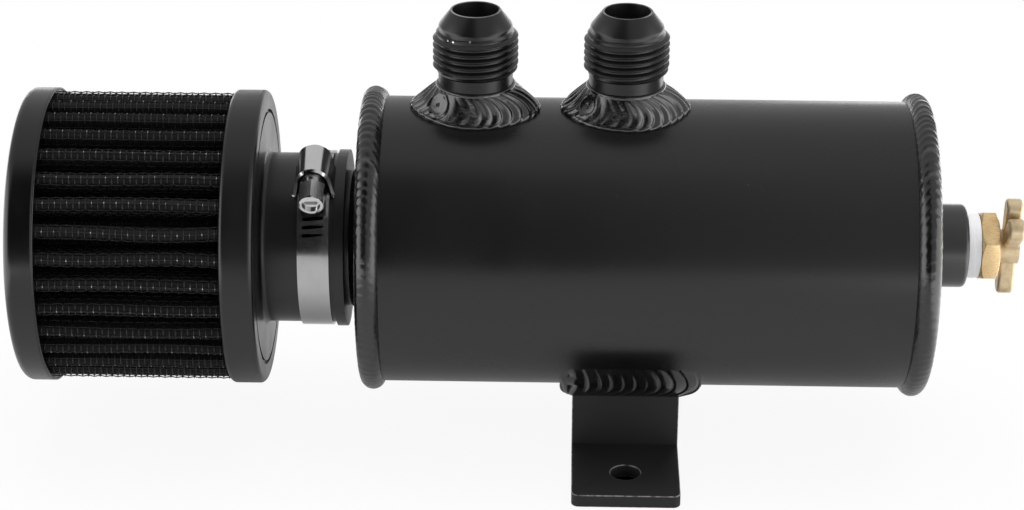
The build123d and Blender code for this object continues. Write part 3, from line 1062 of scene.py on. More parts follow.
@dataclass(frozen=True)
class Ripple:
    """Crescents that a hand-fed weld leaves across its bead."""

    count: int
    height: float
    bow: float
    seed: float
    scatter: float = 0.35
    steep: float = 1.4
    drift_over: int = 5

    def rise(self, turn: float, across: float) -> float:
        """Height of the ripple at a place on the bead.

        Args:
            turn: Share of the way round the bead.
            across: Share of the way across it.

        Returns:
            How far the surface stands out.
        """
        lead = self.bow * (1 - (2 * across - 1) ** 2)
        stretch = turn * self.count / self.drift_over
        drift = self.scatter * wobble(math.floor(stretch), self.seed)
        drift *= math.sin(math.pi * (stretch % 1.0))
        phase = turn * self.count - lead + drift
        number = math.floor(phase) % self.count
        share = phase % 1.0
        size = 1 + self.scatter * wobble(number, self.seed)
        crest = math.sin(math.pi * share**self.steep)
        edge = math.sqrt(max(math.sin(math.pi * min(max(across, 0.0), 1.0)), 0.0))
        return self.height * size * crest * edge


@dataclass
class CanShell:
    """Tube, end plates and baffle, with the beads that close the can's ends."""

    axis: CanAxis
    bead_reach: float = 2.9 * MM
    bead_crown: float = 2.7 * MM
    edge_prep: float = 2.0 * MM
    plate_thickness: float = 3.0 * MM
    crown_lean: float = 0.3 * MM
    calm: float = 0.18
    rippled_from: Span = (0.02, 0.17)
    rippled_to: Span = (0.5, 0.65)
    tuck: float = 0.05
    around: int = 1080
    rungs: int = 18
    foot_hollow: float = 0.42
    foot_ripple: float = 0.16 * MM
    foot_bow: float = 0.7
    foot_rungs: int = 8

    def build(self) -> None:
        """Dress the plain shell and lay the beads."""
        plates = ("filter_end_plate", "drain_end_plate", "baffle_plate")
        for node in ("can_tube", *plates, "filter_spigot"):
            dress(node, ANODISED)
        tube = Extent.of("can_tube")
        filter_ripple = Ripple(count=98, height=0.28 * MM, bow=2.0, seed=1.0, scatter=0.6)
        drain_ripple = replace(filter_ripple, count=96, seed=2.0)
        self.end_bead("filter_end_weld", tube.low.x, -1, filter_ripple)
        self.end_bead("drain_end_weld", tube.high.x, 1, drain_ripple)
        self.foot_ring("spigot_weld", outward=-1, count=38)
        self.foot_ring("drain_bung_weld", outward=1, count=26)

    def end_bead(self, node: str, seam: float, outward: int, ripple: Ripple) -> None:
        """Lay the rippled bead round one end of the tube.

        Args:
            node: Node that the bead stands for.
            seam: Station where tube and end plate meet.
            outward: Direction along X away from the tube.
            ripple: The ripples on the bead.
        """
        radius = self.axis.can_radius
        face = seam + outward * self.plate_thickness
        toe = Vector((seam - outward * self.bead_reach, radius))
        heel = Vector((face, radius - self.edge_prep))
        crest = ripple.height * (1 + ripple.scatter)
        ridge = (toe.x + face) / 2 + outward * self.crown_lean
        crown = Vector((ridge, radius + self.bead_crown - crest))
        centre, bow = circle_through(toe, crown, heel)
        start, top, end = (math.atan2(p.y - centre.y, p.x - centre.x) for p in (toe, crown, heel))
        sweep = short_way(start, top) + short_way(top, end)

        def where(turn: float, height: float) -> Vector:
            """Place on the plain bead, from the tube over the crown to the plate."""
            angle = start + sweep * (-self.tuck + (1 + 2 * self.tuck) * height)
            x, out = centre.x + bow * math.cos(angle), centre.y + bow * math.sin(angle)
            return self.axis.at(x, out, turn)

        def rise(turn: float, height: float) -> float:
            """Height of the ripples, which run calm below."""
            near_top = ease(*self.rippled_from, turn) * (1 - ease(*self.rippled_to, turn))
            return ripple.rise(turn, height) * (self.calm + (1 - self.calm) * near_top)

        bead = Workpiece(node + "_bead")
        bead.drum(self.around, self.rungs)
        bead.place(where, rise)
        bead.close_rims()
        bead.finish(WELD, Body.CAN, Slot.BLACK_WELD, [node], crease=SOFT_CREASE)

    def foot_ring(self, node: str, outward: int, count: int) -> None:
        """Lay the small hollow bead round a tube that stands on an end plate.

        Args:
            node: Node that the bead stands for.
            outward: Direction along X away from the can.
            count: Ripples in one round.
        """
        box = Extent.of(node)
        leg = box.size.x
        wall = box.low.x if outward > 0 else box.high.x
        tube_radius = box.size.y / 2 - leg
        ripple = Ripple(count, self.foot_ripple, self.foot_bow, seed=count)

        def where(turn: float, height: float) -> Vector:
            """Place on the plain hollow, from the plate to the tube."""
            share = -self.tuck + (1 + 2 * self.tuck) * height
            sag = (1 - 2 * self.foot_hollow) * leg * 4 * share * (1 - share) / 2
            x = wall + outward * (leg * (1 - share) - sag)
            return self.axis.at(x, tube_radius + leg * share - sag, turn)

        bead = Workpiece(node + "_bead")
        bead.drum(count * self.foot_rungs, self.foot_rungs)
        bead.place(where, ripple.rise)
        bead.close_rims()
        bead.finish(WELD, Body.CAN, Slot.BLACK_WELD, [node], crease=SOFT_CREASE)


def short_way(first: float, second: float) -> float:
    """Turn from one angle to another by the shorter way, all in radians."""
    return (second - first + math.pi) % FULL_TURN - math.pi


def circle_through(first: Vector, second: Vector, third: Vector) -> tuple[Vector, float]:
    """Lay a circle through three points of a plane.

    Args:
        first: One point.
        second: Another one.
        third: The last one.

    Returns:
        The circle's centre and radius.
    """
    a, b, c = first, second, third
    d = 2 * (a.x * (b.y - c.y) + b.x * (c.y - a.y) + c.x * (a.y - b.y))
    aa, bb, cc = a.length_squared, b.length_squared, c.length_squared
    x = (aa * (b.y - c.y) + bb * (c.y - a.y) + cc * (a.y - b.y)) / d
    y = (aa * (c.x - b.x) + bb * (a.x - c.x) + cc * (b.x - a.x)) / d
    centre = Vector((x, y))
    return centre, (a - centre).length


@dataclass(frozen=True)
class Crater:
    """Round hollow with a pin hole in it, where a weld was ended."""

    turn: float
    height: float
    radius: float
    dish: float
    dish_to: float
    hole: float
    hole_to: float
    clear: Span
    lip: float = 0.0
    hole_from: float = 0.05
    lip_from: Span = (0.75, 0.98)
    lip_to: Span = (0.98, 1.3)

    def away(self, bead: Place, turn: float, height: float) -> float:
        """Distance of a place on a bead from the crater's middle.

        Args:
            bead: Gives the points of the plain bead.
            turn: Share of the way round it.
            height: Share of the way up it.

        Returns:
            The distance, in shares of the crater's radius.
        """
        return (bead(turn, height) - bead(self.turn, self.height)).length / self.radius

    def hollow(self, away: float) -> float:
        """Depth of the dish and its pin hole, as a height below 0."""
        dish = -self.dish * (1 - ease(0.0, self.dish_to, away))
        return dish - self.hole * (1 - ease(self.hole_from, self.hole_to, away))

    def rim(self, away: float) -> float:
        """Height of the lip round the dish."""
        return self.lip * ease(*self.lip_from, away) * (1 - ease(*self.lip_to, away))


@dataclass
class HosePort:
    """Flare fitting with its cut thread, and the fluted weld skirt round its foot."""

    axis: CanAxis
    fitting: str
    skirt: str
    look: Finish
    seed: float
    crater_turn: float
    bore: float = 6.0 * MM
    nose: float = 6.5 * MM
    flare_angle: float = 37.0
    band: float = 9.6 * MM
    band_length: float = 1.4 * MM
    neck: float = 9.7 * MM
    thread_length: float = 11.2 * MM
    pitch: float = INCH / 14
    thread_depth: float = 1.1 * MM
    thread_flank: float = 30.0
    thread_soft: float = 0.08 * MM
    thread_buried: float = 0.7 * MM
    thread_end: float = 1.3 * MM
    thread_crease: float = 28.0
    lip_rounding: float = 0.1 * MM
    toe_along: float = 17.0 * MM
    toe_across: float = 12.0 * MM
    toe_edge: float = 1.1 * MM
    toe_lean: float = 0.6
    toe_sunk: float = 0.4
    toe_waves: int = 7
    toe_slack: float = 0.03
    edge_to: float = 0.14
    rim: float = 10.5 * MM
    skirt_height: float = 7.1 * MM
    roll: float = 0.7 * MM
    roll_from: float = 0.88
    groove: float = 0.3 * MM
    flutes: int = 30
    flute_height: float = 0.45 * MM
    flute_bow: float = 1.0
    flute_scatter: float = 0.3
    calm_from: Span = (0.62, 0.65)
    calm_to: Span = (0.74, 0.8)
    calmed: float = 0.8
    skirt_grid: tuple[int, int] = (420, 48)
    steps: int = 120

    def build(self) -> None:
        """Cut the fitting and lay its weld."""
        self.build_fitting()
        self.build_skirt()

    def build_fitting(self) -> None:
        """Turn the fitting's body and cut its thread."""
        box = Extent.of(self.fitting)
        foot = Vector((box.middle.x, box.middle.y, 0))
        outer = box.size.x / 2
        core = outer - self.thread_depth
        lip = box.high.z
        band_top = lip - (self.band - self.nose) / math.tan(math.radians(self.flare_angle))
        thread_top = band_top - self.band_length
        thread_foot = thread_top - self.thread_length
        profile = [
            (self.bore, box.low.z),
            (self.neck, box.low.z),
            (self.neck, thread_foot),
            (core, thread_foot + core - self.neck),
            (core, thread_top - core + self.band),
            (self.band, thread_top),
            (self.band, band_top),
            (self.nose, lip),
            (self.bore, lip),
        ]
        piece = Workpiece(self.fitting + "_threaded")
        piece.lathe([foot + Vector((r, 0, z)) for r, z in profile], foot, UP, self.steps)
        rings = [
            (band_top, self.band, 4 * self.lip_rounding),
            (lip, self.nose, self.lip_rounding),
            (lip, self.bore, self.lip_rounding),
        ]
        piece.round_rings(rings, foot)
        # The lip's top faces take the rubbed mask: partly wear of the flare, partly a painted highlight
        # ring round the bore
        mark = piece.mesh.faces.layers.float.new(EDGE_MARK)
        for face in piece.mesh.faces:
            if min(v.co.z for v in face.verts) > lip - 2 * self.lip_rounding:
                face[mark] = 1.0
        self.cut_thread(piece, foot, core, thread_foot, thread_top)
        slot, nodes = Slot.BLACK_ALUMINIUM, [self.fitting]
        piece.finish(self.look, Body.CAN, slot, nodes, crease=self.thread_crease, merge=False)

    def cut_thread(self, piece: Workpiece, foot: Vector, core: float, low: float, high: float) -> None:
        """Run the thread's ridge round the fitting's core.

        Args:
            piece: The fitting in the making.
            foot: Point of its axis at height 0.
            core: Radius at the thread's root.
            low: Height where the thread ends.
            high: Height where it starts.
        """
        crest = core + self.thread_depth
        flat = self.pitch / 16
        soft = self.thread_soft
        flank = self.thread_depth * math.tan(math.radians(self.thread_flank))
        root = core - soft
        section = [
            (root, -flat - flank),
            (crest - soft, -flat - soft / 2),
            (crest, -flat + soft / 2),
            (crest, flat - soft / 2),
            (crest - soft, flat + soft / 2),
            (root, flat + flank),
        ]
        start = low - self.pitch / 2
        turns = (high - low + self.pitch) / self.pitch
        points = [foot + Vector((r, 0, start + z)) for r, z in section]
        buried = core - self.thread_buried
        for vert in piece.helix(points, foot, self.pitch, turns, self.steps):
            out = Vector((vert.co.x - foot.x, vert.co.y - foot.y, 0))
            height = min(vert.co.z - low, high - vert.co.z)
            reach = crest - self.thread_end + height if height > 0 else buried
            limit = max(min(reach, crest), buried)
            if out.length > limit:
                side = out.normalized() * limit
                vert.co = Vector((foot.x + side.x, foot.y + side.y, vert.co.z))

    def skirt_point(self, turn: float, height: float) -> Vector:
        """Place on the plain skirt, which has a sunk toe, a blunt edge, a cone and a roll at the neck.

        Args:
            turn: Share of the way round the fitting.
            height: Share of the way from the toe to the neck.

        Returns:
            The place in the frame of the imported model.
        """
        box = Extent.of(self.fitting)
        angle = turn * FULL_TURN
        out = Vector((math.cos(angle), math.sin(angle), 0))
        middle = Vector((box.middle.x, box.middle.y, 0))
        top = self.axis.z + self.axis.can_radius + self.skirt_height
        rim = middle + out * self.rim + Vector((0, 0, top - self.roll))
        if height > self.roll_from:
            bend = math.pi * (height - self.roll_from) / (1 - self.roll_from)
            lift = Vector((0, 0, self.roll * math.sin(bend)))
            return rim + out * self.roll * (math.cos(bend) - 1) + lift
        wave = turn * self.toe_waves
        slack = self.toe_slack * wobble(math.floor(wave), self.seed)
        slack *= math.sin(math.pi * (wave % 1)) ** 2
        toe = middle + Vector((out.x * self.toe_along, out.y * self.toe_across, 0)) * (1 + slack)
        toe.z = self.axis.skin_height(toe.y, 1)
        away = self.axis.away(toe)
        inward = out * (self.toe_lean * self.toe_edge)
        if height < self.edge_to:
            bend = math.pi / 2 * height / self.edge_to
            sunk = away * (self.toe_edge * ((1 + self.toe_sunk) * math.sin(bend) - self.toe_sunk))
            return toe + sunk - inward * (1 - math.cos(bend))
        shoulder = toe + away * self.toe_edge - inward
        share = (height - self.edge_to) / (self.roll_from - self.edge_to)
        return shoulder.lerp(rim - out * self.groove, share)

    def skirt_rise(self, turn: float, height: float) -> float:
        """Flutes, crater and calm zone of the skirt.

        Args:
            turn: Share of the way round the fitting.
            height: Share of the way from the toe to the neck.

        Returns:
            How far the surface stands over its plain form.
        """
        if height > self.roll_from:
            return 0.0
        flute = Ripple(self.flutes, self.flute_height, self.flute_bow, self.seed, self.flute_scatter)
        crater = self.crater()
        away = crater.away(self.skirt_point, turn, height)
        quiet = ease(*self.calm_from, turn) * (1 - ease(*self.calm_to, turn))
        calm = ease(*crater.clear, away) * (1 - self.calmed * quiet)
        flutes = flute.rise(turn, height / self.roll_from) * calm
        return flutes + crater.hollow(away) + crater.rim(away)

    def crater(self) -> Crater:
        """Crater where the skirt's weld was ended."""
        return Crater(
            turn=self.crater_turn,
            height=0.52,
            radius=2.8 * MM,
            dish=0.16 * MM,
            dish_to=0.95,
            hole=0.4 * MM,
            hole_to=0.2,
            clear=(0.85, 1.2),
            lip=0.12 * MM,
        )

    def build_skirt(self) -> None:
        """Lay the fluted weld from the can up to the fitting's neck."""
        piece = Workpiece(self.skirt + "_fluted")
        piece.drum(*self.skirt_grid)
        piece.place(self.skirt_point, self.skirt_rise)
        piece.close_rims()
        piece.finish(PORT_WELD, Body.CAN, Slot.BLACK_WELD, [self.skirt], crease=SOFT_CREASE)


@dataclass
class Bracket:
    """L bracket with softened edges, and the bead that joins it to the can."""

    axis: CanAxis
    edge_rounding: float = 0.3 * MM
    plate_back: float = 18.9 * MM
    plate_front: float = 15.4 * MM
    lip: float = 0.6 * MM
    foot_level: Span = (18.4 * MM, 16.6 * MM)
    reach_front: float = 12.4 * MM
    reach_side: float = 4.6 * MM
    reach_back: float = 3.6 * MM
    corner: float = 4.0 * MM
    crown: float = 1.5 * MM
    shift: float = 1.2 * MM
    crown_behind: float = 0.3
    crown_out: float = 0.76
    crown_down: float = 0.65
    overrun: float = 1.06
    bead_grid: tuple[int, int] = (480, 28)
    ripple: Ripple = Ripple(count=27, height=0.34 * MM, bow=1.0, seed=5.0, scatter=0.2, steep=2.6)
    crater: Crater = Crater(
        turn=0.585,
        height=0.62,
        radius=2.2 * MM,
        dish=0.3 * MM,
        dish_to=0.9,
        hole=0.4 * MM,
        hole_to=0.3,
        clear=(0.8, 1.2),
    )

    def build(self) -> None:
        """Round the bracket and lay its bead."""
        plate = Workpiece.copied("mounting_bracket_eased", "mounting_bracket")
        plate.round_edges(self.edge_rounding, 3)
        plate.finish(BRACKET_BLACK, Body.CAN, Slot.BLACK_ALUMINIUM, ["mounting_bracket"])
        bead = Workpiece("bracket_weld_bead")
        bead.drum(*self.bead_grid)
        bead.place(self.bead_point, self.bead_rise)
        bead.close_rims()
        bead.finish(BRACKET_WELD, Body.CAN, Slot.BLACK_WELD, ["bracket_weld"], crease=SOFT_CREASE)

    def bead_point(self, turn: float, height: float) -> Vector:
        """Place on the plain bead, from the plate up to a line sunk into the can.

        Args:
            turn: Share of the way round the plate.
            height: Share of the way up to the can.

        Returns:
            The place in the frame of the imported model.
        """
        half = Extent.of("mounting_bracket").size.x / 2
        front, back = self.plate_front, self.plate_back
        below = Rounded(half + self.lip, front - self.lip, back + self.lip, self.lip).at(turn)
        toe_front, toe_back = front - self.reach_front, back + self.reach_back
        above = Rounded(half + self.reach_side, toe_front, toe_back, self.corner).at(turn)
        above.x += self.shift
        behind = ease(front, back, below.y)
        below.z = self.foot_level[0] + (self.foot_level[1] - self.foot_level[0]) * behind
        above.z = self.axis.skin_height(above.y, -1)
        out = Vector((below.x / half, (below.y - (front + back) / 2) / (back - front), 0))
        out = Vector((out.x**3, out.y, 0)).normalized()
        share = height * self.overrun
        swell = 4 * self.crown * (1 - (1 - self.crown_behind) * behind) * share * (1 - share)
        return below.lerp(above, share) + (out * self.crown_out - UP * self.crown_down) * swell

    def bead_rise(self, turn: float, height: float) -> float:
        """Ripples and end crater of the bead.

        Args:
            turn: Share of the way round the plate.
            height: Share of the way up to the can.

        Returns:
            How far the surface stands over its plain form.
        """
        away = self.crater.away(self.bead_point, turn, height)
        ripples = self.ripple.rise(turn, height) * ease(*self.crater.clear, away)
        return ripples + self.crater.hollow(away)


@dataclass(frozen=True)
class Rounded:
    """Rounded oblong seen from above, walked round from the middle of its right side."""

    half_width: float
    front: float
    back: float
    corner: float

    def at(self, turn: float) -> Vector:
        """Point of the outline, with the same shares for its sides and corners on every size.

        Args:
            turn: Share of the way round.

        Returns:
            The point, at height 0.
        """
        depth = (self.back - self.front) / 2
        middle = (self.back + self.front) / 2
        corner = min(self.corner, depth, self.half_width)
        quarter = int(turn * 4) % 4
        share = turn * 4 % 1.0
        if quarter in (1, 3):
            share = 1 - share
        side, bend = 0.12, 0.3
        straight_y = depth - corner
        straight_x = self.half_width - corner
        if share < side:
            x, y = self.half_width, straight_y * share / side
        elif share < bend:
            angle = math.pi / 2 * (share - side) / (bend - side)
            x, y = straight_x + corner * math.cos(angle), straight_y + corner * math.sin(angle)
        else:
            x, y = straight_x * (1 - share) / (1 - bend), depth
        return Vector(((x, -x, -x, x)[quarter], middle + (y, y, -y, -y)[quarter], 0))


@dataclass
class DrainValve:
    """Bung, brass valve body with its taped thread, stem and butterfly handle."""

    axis: CanAxis
    hex_rounding: float = 0.16 * MM
    tape_turns: float = 4.5
    tape_step: float = 0.09 * MM
    tape_grid: tuple[int, int] = (160, 90)
    crinkle: float = 0.02 * MM
    crinkles: int = 40

    def build(self) -> None:
        """Dress the turned pieces and wind the tape."""
        dress("drain_bung", BUNG_BLACK)
        dress("drain_stem", BRASS)
        dress("drain_handle", HANDLE_BRASS)
        body = Workpiece.copied("drain_valve_body_eased", "drain_valve_body")
        body.round_edges(self.hex_rounding, steps=2)
        body.finish(BRASS, Body.CAN, Slot.BRASS, ["drain_valve_body"])
        self.wind_tape()

    def wind_tape(self) -> None:
        """Wind the tape as a flat spiral whose edges lie one over the other."""
        box = Extent.of("thread_seal_tape")
        radius = box.size.y / 2

        def where(turn: float, height: float) -> Vector:
            """Place on the wound tape."""
            wound = height * self.tape_turns + turn
            crinkle = self.crinkle * wobble(math.floor(turn * self.crinkles), math.floor(wound))
            x = box.low.x + box.size.x * height
            return self.axis.at(x, radius - self.tape_step * (1 - wound % 1.0) + crinkle, turn)

        tape = Workpiece("thread_seal_tape_wound")
        tape.drum(*self.tape_grid)
        tape.place(where)
        tape.close_rims()
        tape.finish(TAPE, Body.CAN, Slot.WHITE_TAPE, ["thread_seal_tape"], crease=SOFT_CREASE)


@dataclass
class BreatherFilter:
    """Rubber base and cap, folded cotton and the woven wire over its folds."""

    axis: CanAxis
    folds: int = 33
    first_fold: float = 3.2
    tip_centre: float = 36.3 * MM
    tip_bend: float = 1.7 * MM
    valley_centre: float = 27.7 * MM
    valley_bend: float = 0.9 * MM
    cotton_depth: float = 0.35 * MM
    cotton: float = 0.8 * MM
    sway: float = 0.55 * MM
    long_wires_per_fold: int = 12
    round_wires: int = 30
    wire: float = 0.17 * MM
    weave: float = 0.14 * MM
    lip: float = 0.3 * MM
    lip_grid: tuple[int, int] = (10, 240)
    cotton_rungs: int = 16
    bow_seeds: Span = (7.0, 8.0)
    double_bow: float = 0.6

    def build(self) -> None:
        """Dress the mouldings, fold the cotton and weave the screen."""
        dress("filter_base", FLANGE_RUBBER)
        dress("filter_cap", RUBBER)
        self.mould_lip()
        ring = self.fold_ring()
        self.fold_cotton(ring)
        self.weave_screen(ring)

    def mould_lip(self) -> None:
        """Run the thin mould lip round the cap's edge beside the folds."""
        cap = Extent.of("filter_cap")
        centre = Vector((cap.high.x, self.axis.y, self.axis.z))
        radius = cap.size.y / 2 - self.lip
        corners, steps = self.lip_grid
        section = []
        for corner in range(corners):
            angle = FULL_TURN * corner / corners
            along, out = self.lip * math.cos(angle), radius + self.lip * math.sin(angle)
            section.append(centre + Vector((along, 0, out)))
        piece = Workpiece("filter_cap_lip")
        piece.lathe(section, centre, Vector((1, 0, 0)), steps)
        piece.finish(RUBBER, Body.CAN, Slot.BLACK_RUBBER)

    def half_fold(self, share: float) -> FoldPoint:
        """Follow a fold from its crest to the next trough, across the can's axis.

        Args:
            share: Share of the way.

        Returns:
            The point there and its outward normal.
        """
        half_pitch = math.pi / self.folds
        tip = Vector((self.tip_centre, 0))
        valley = Vector((math.cos(half_pitch), math.sin(half_pitch))) * self.valley_centre
        span = valley - tip
        lean = math.asin((self.tip_bend + self.valley_bend) / span.length)
        facing = math.atan2(span.y, span.x) + lean - math.pi / 2
        flank = math.sqrt(span.length_squared - (self.tip_bend + self.valley_bend) ** 2)
        valley_sweep = facing - half_pitch
        lengths = (self.tip_bend * facing, flank, self.valley_bend * valley_sweep)
        run = share * sum(lengths)
        if run < lengths[0]:
            angle = run / self.tip_bend
            out = Vector((math.cos(angle), math.sin(angle)))
            return tip + out * self.tip_bend, out
        side = Vector((math.cos(facing), math.sin(facing)))
        run -= lengths[0]
        if run < lengths[1]:
            down = Vector((-side.y, side.x))
            return tip + side * self.tip_bend + down * run, side
        angle = facing - (run - lengths[1]) / self.valley_bend
        out = Vector((math.cos(angle), math.sin(angle)))
        return valley - out * self.valley_bend, out

    def fold_ring(self) -> list[FoldPoint]:
        """Walk round all the folds from the first crest.

        Returns:
            Points and normals, two for each lengthwise wire.
        """
        count = 2 * self.long_wires_per_fold
        half = count // 2
        ring = []
        for fold in range(self.folds):
            turn = math.radians(self.first_fold) + FULL_TURN * fold / self.folds
            for step in range(count):
                falling = step <= half
                point, out = self.half_fold((step if falling else count - step) / half)
                if not falling:
                    point, out = Vector((point.x, -point.y)), Vector((out.x, -out.y))
                angle = turn if falling else turn + FULL_TURN / self.folds
                spin = Matrix.Rotation(angle, 2)
                ring.append((spin @ point, spin @ out))
        return ring

    def fold_place(self, number: int, spot: FoldPoint, along: float, lift: float) -> Vector:
        """Place of a point of the folds, which sway a little on their way from cap to base.

        Args:
            number: Which point of the ring it is.
            spot: Its point and normal across the axis.
            along: Share of the way from cap to base.
            lift: How far it stands off the sheet's middle.

        Returns:
            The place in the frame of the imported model.
        """
        box = Extent.of("wire_screen")
        count = 2 * self.long_wires_per_fold
        crest = number / count
        fold = round(crest)
        near_crest = math.cos(math.pi * (crest - fold)) ** 2
        single, double = (wobble(fold % self.folds, seed) for seed in self.bow_seeds)
        bow = single * math.sin(math.pi * along)
        bow += self.double_bow * double * math.sin(FULL_TURN * along)
        spin = Matrix.Rotation(self.sway * near_crest * bow / self.tip_centre, 2)
        point = spin @ (spot[0] + spot[1] * lift)
        x = box.low.x + box.size.x * along
        return Vector((x, self.axis.y - point.x, self.axis.z + point.y))

    def fold_cotton(self, ring: list[FoldPoint]) -> None:
        """Fold the cotton under the screen.

        Args:
            ring: Points and normals round the folds.
        """

        def where(turn: float, height: float) -> Vector:
            """Place on the cotton's outer face."""
            number = round(turn * len(ring)) % len(ring)
            return self.fold_place(number, ring[number], height, -self.cotton_depth)

        piece = Workpiece("pleated_media_folded")
        piece.drum(len(ring), self.cotton_rungs)
        piece.place(where)
        bmesh.ops.solidify(piece.mesh, geom=piece.mesh.faces[:], thickness=-self.cotton)
        piece.finish(CLOTH, Body.CAN, Slot.FILTER_CLOTH, ["pleated_media"], crease=SOFT_CREASE)

    def weave_screen(self, ring: list[FoldPoint]) -> None:
        """Weave round wires over and under lengthwise ones.

        Args:
            ring: Points and normals round the folds.
        """
        rounds = wire_curve("wire_screen_rounds", self.wire)
        lengths = wire_curve("wire_screen_lengths", self.wire)
        crossings = 2 * self.round_wires
        for number in range(0, len(ring), 2):
            path = []
            for step in range(crossings + 1):
                over = 0 if step % 2 == 0 else (-1 if (number // 2 + step // 2) % 2 else 1)
                lift = self.weave * over
                path.append(self.fold_place(number, ring[number], step / crossings, lift))
            lay_wire(lengths, path, closed=False)
        for wire in range(self.round_wires):
            along = (wire + 0.5) / self.round_wires
            path = []
            for number, spot in enumerate(ring):
                over = 0 if number % 2 else (1 if (number // 2 + wire) % 2 else -1)
                path.append(self.fold_place(number, spot, along, self.weave * over))
            lay_wire(rounds, path, closed=True)
        put_on(rounds.name, wire_mesh(rounds), GLINT_PAINTED_WIRE, Body.CAN, Slot.BLACK_WIRE, ["wire_screen"])
        put_on(lengths.name, wire_mesh(lengths), SHADE_DARKENED_WIRE, Body.CAN, Slot.BLACK_WIRE, ["wire_screen"])


def wire_curve(name: str, radius: float) -> bpy.types.Curve:
    """Start a bundle of wires.

    Args:
        name: Name of the bundle.
        radius: Radius of its wires.

    Returns:
        The curve that holds them.
    """
    curve = bpy.data.curves.new(name, "CURVE")
    curve.dimensions = "3D"
    curve.bevel_depth = radius
    curve.bevel_resolution = 0
    curve.use_fill_caps = True
    return curve


def wire_mesh(curve: bpy.types.Curve) -> bpy.types.Mesh:
    """Turn a bundle of wires into a mesh with smooth faces.

    Args:
        curve: The bundle.

    Returns:
        Its mesh.
    """
    holder = bpy.data.objects.new(curve.name, curve)
    bpy.context.scene.collection.objects.link(holder)
    bpy.context.view_layer.update()
    graph = bpy.context.evaluated_depsgraph_get()
    data = bpy.data.meshes.new_from_object(holder.evaluated_get(graph))
    bpy.data.objects.remove(holder)
    for face in data.polygons:
        face.use_smooth = True
    return data


def lay_wire(curve: bpy.types.Curve, points: Sequence[Vector], closed: bool) -> None:
    """Add one wire to a bundle.

    Args:
        curve: The bundle.
        points: Places that the wire runs through.
        closed: Whether its ends meet.
    """
    spline = curve.splines.new("POLY")
    spline.points.add(len(points) - 1)
    for target, point in zip(spline.points, points):
        target.co = (*point, 1.0)
    spline.use_cyclic_u = closed


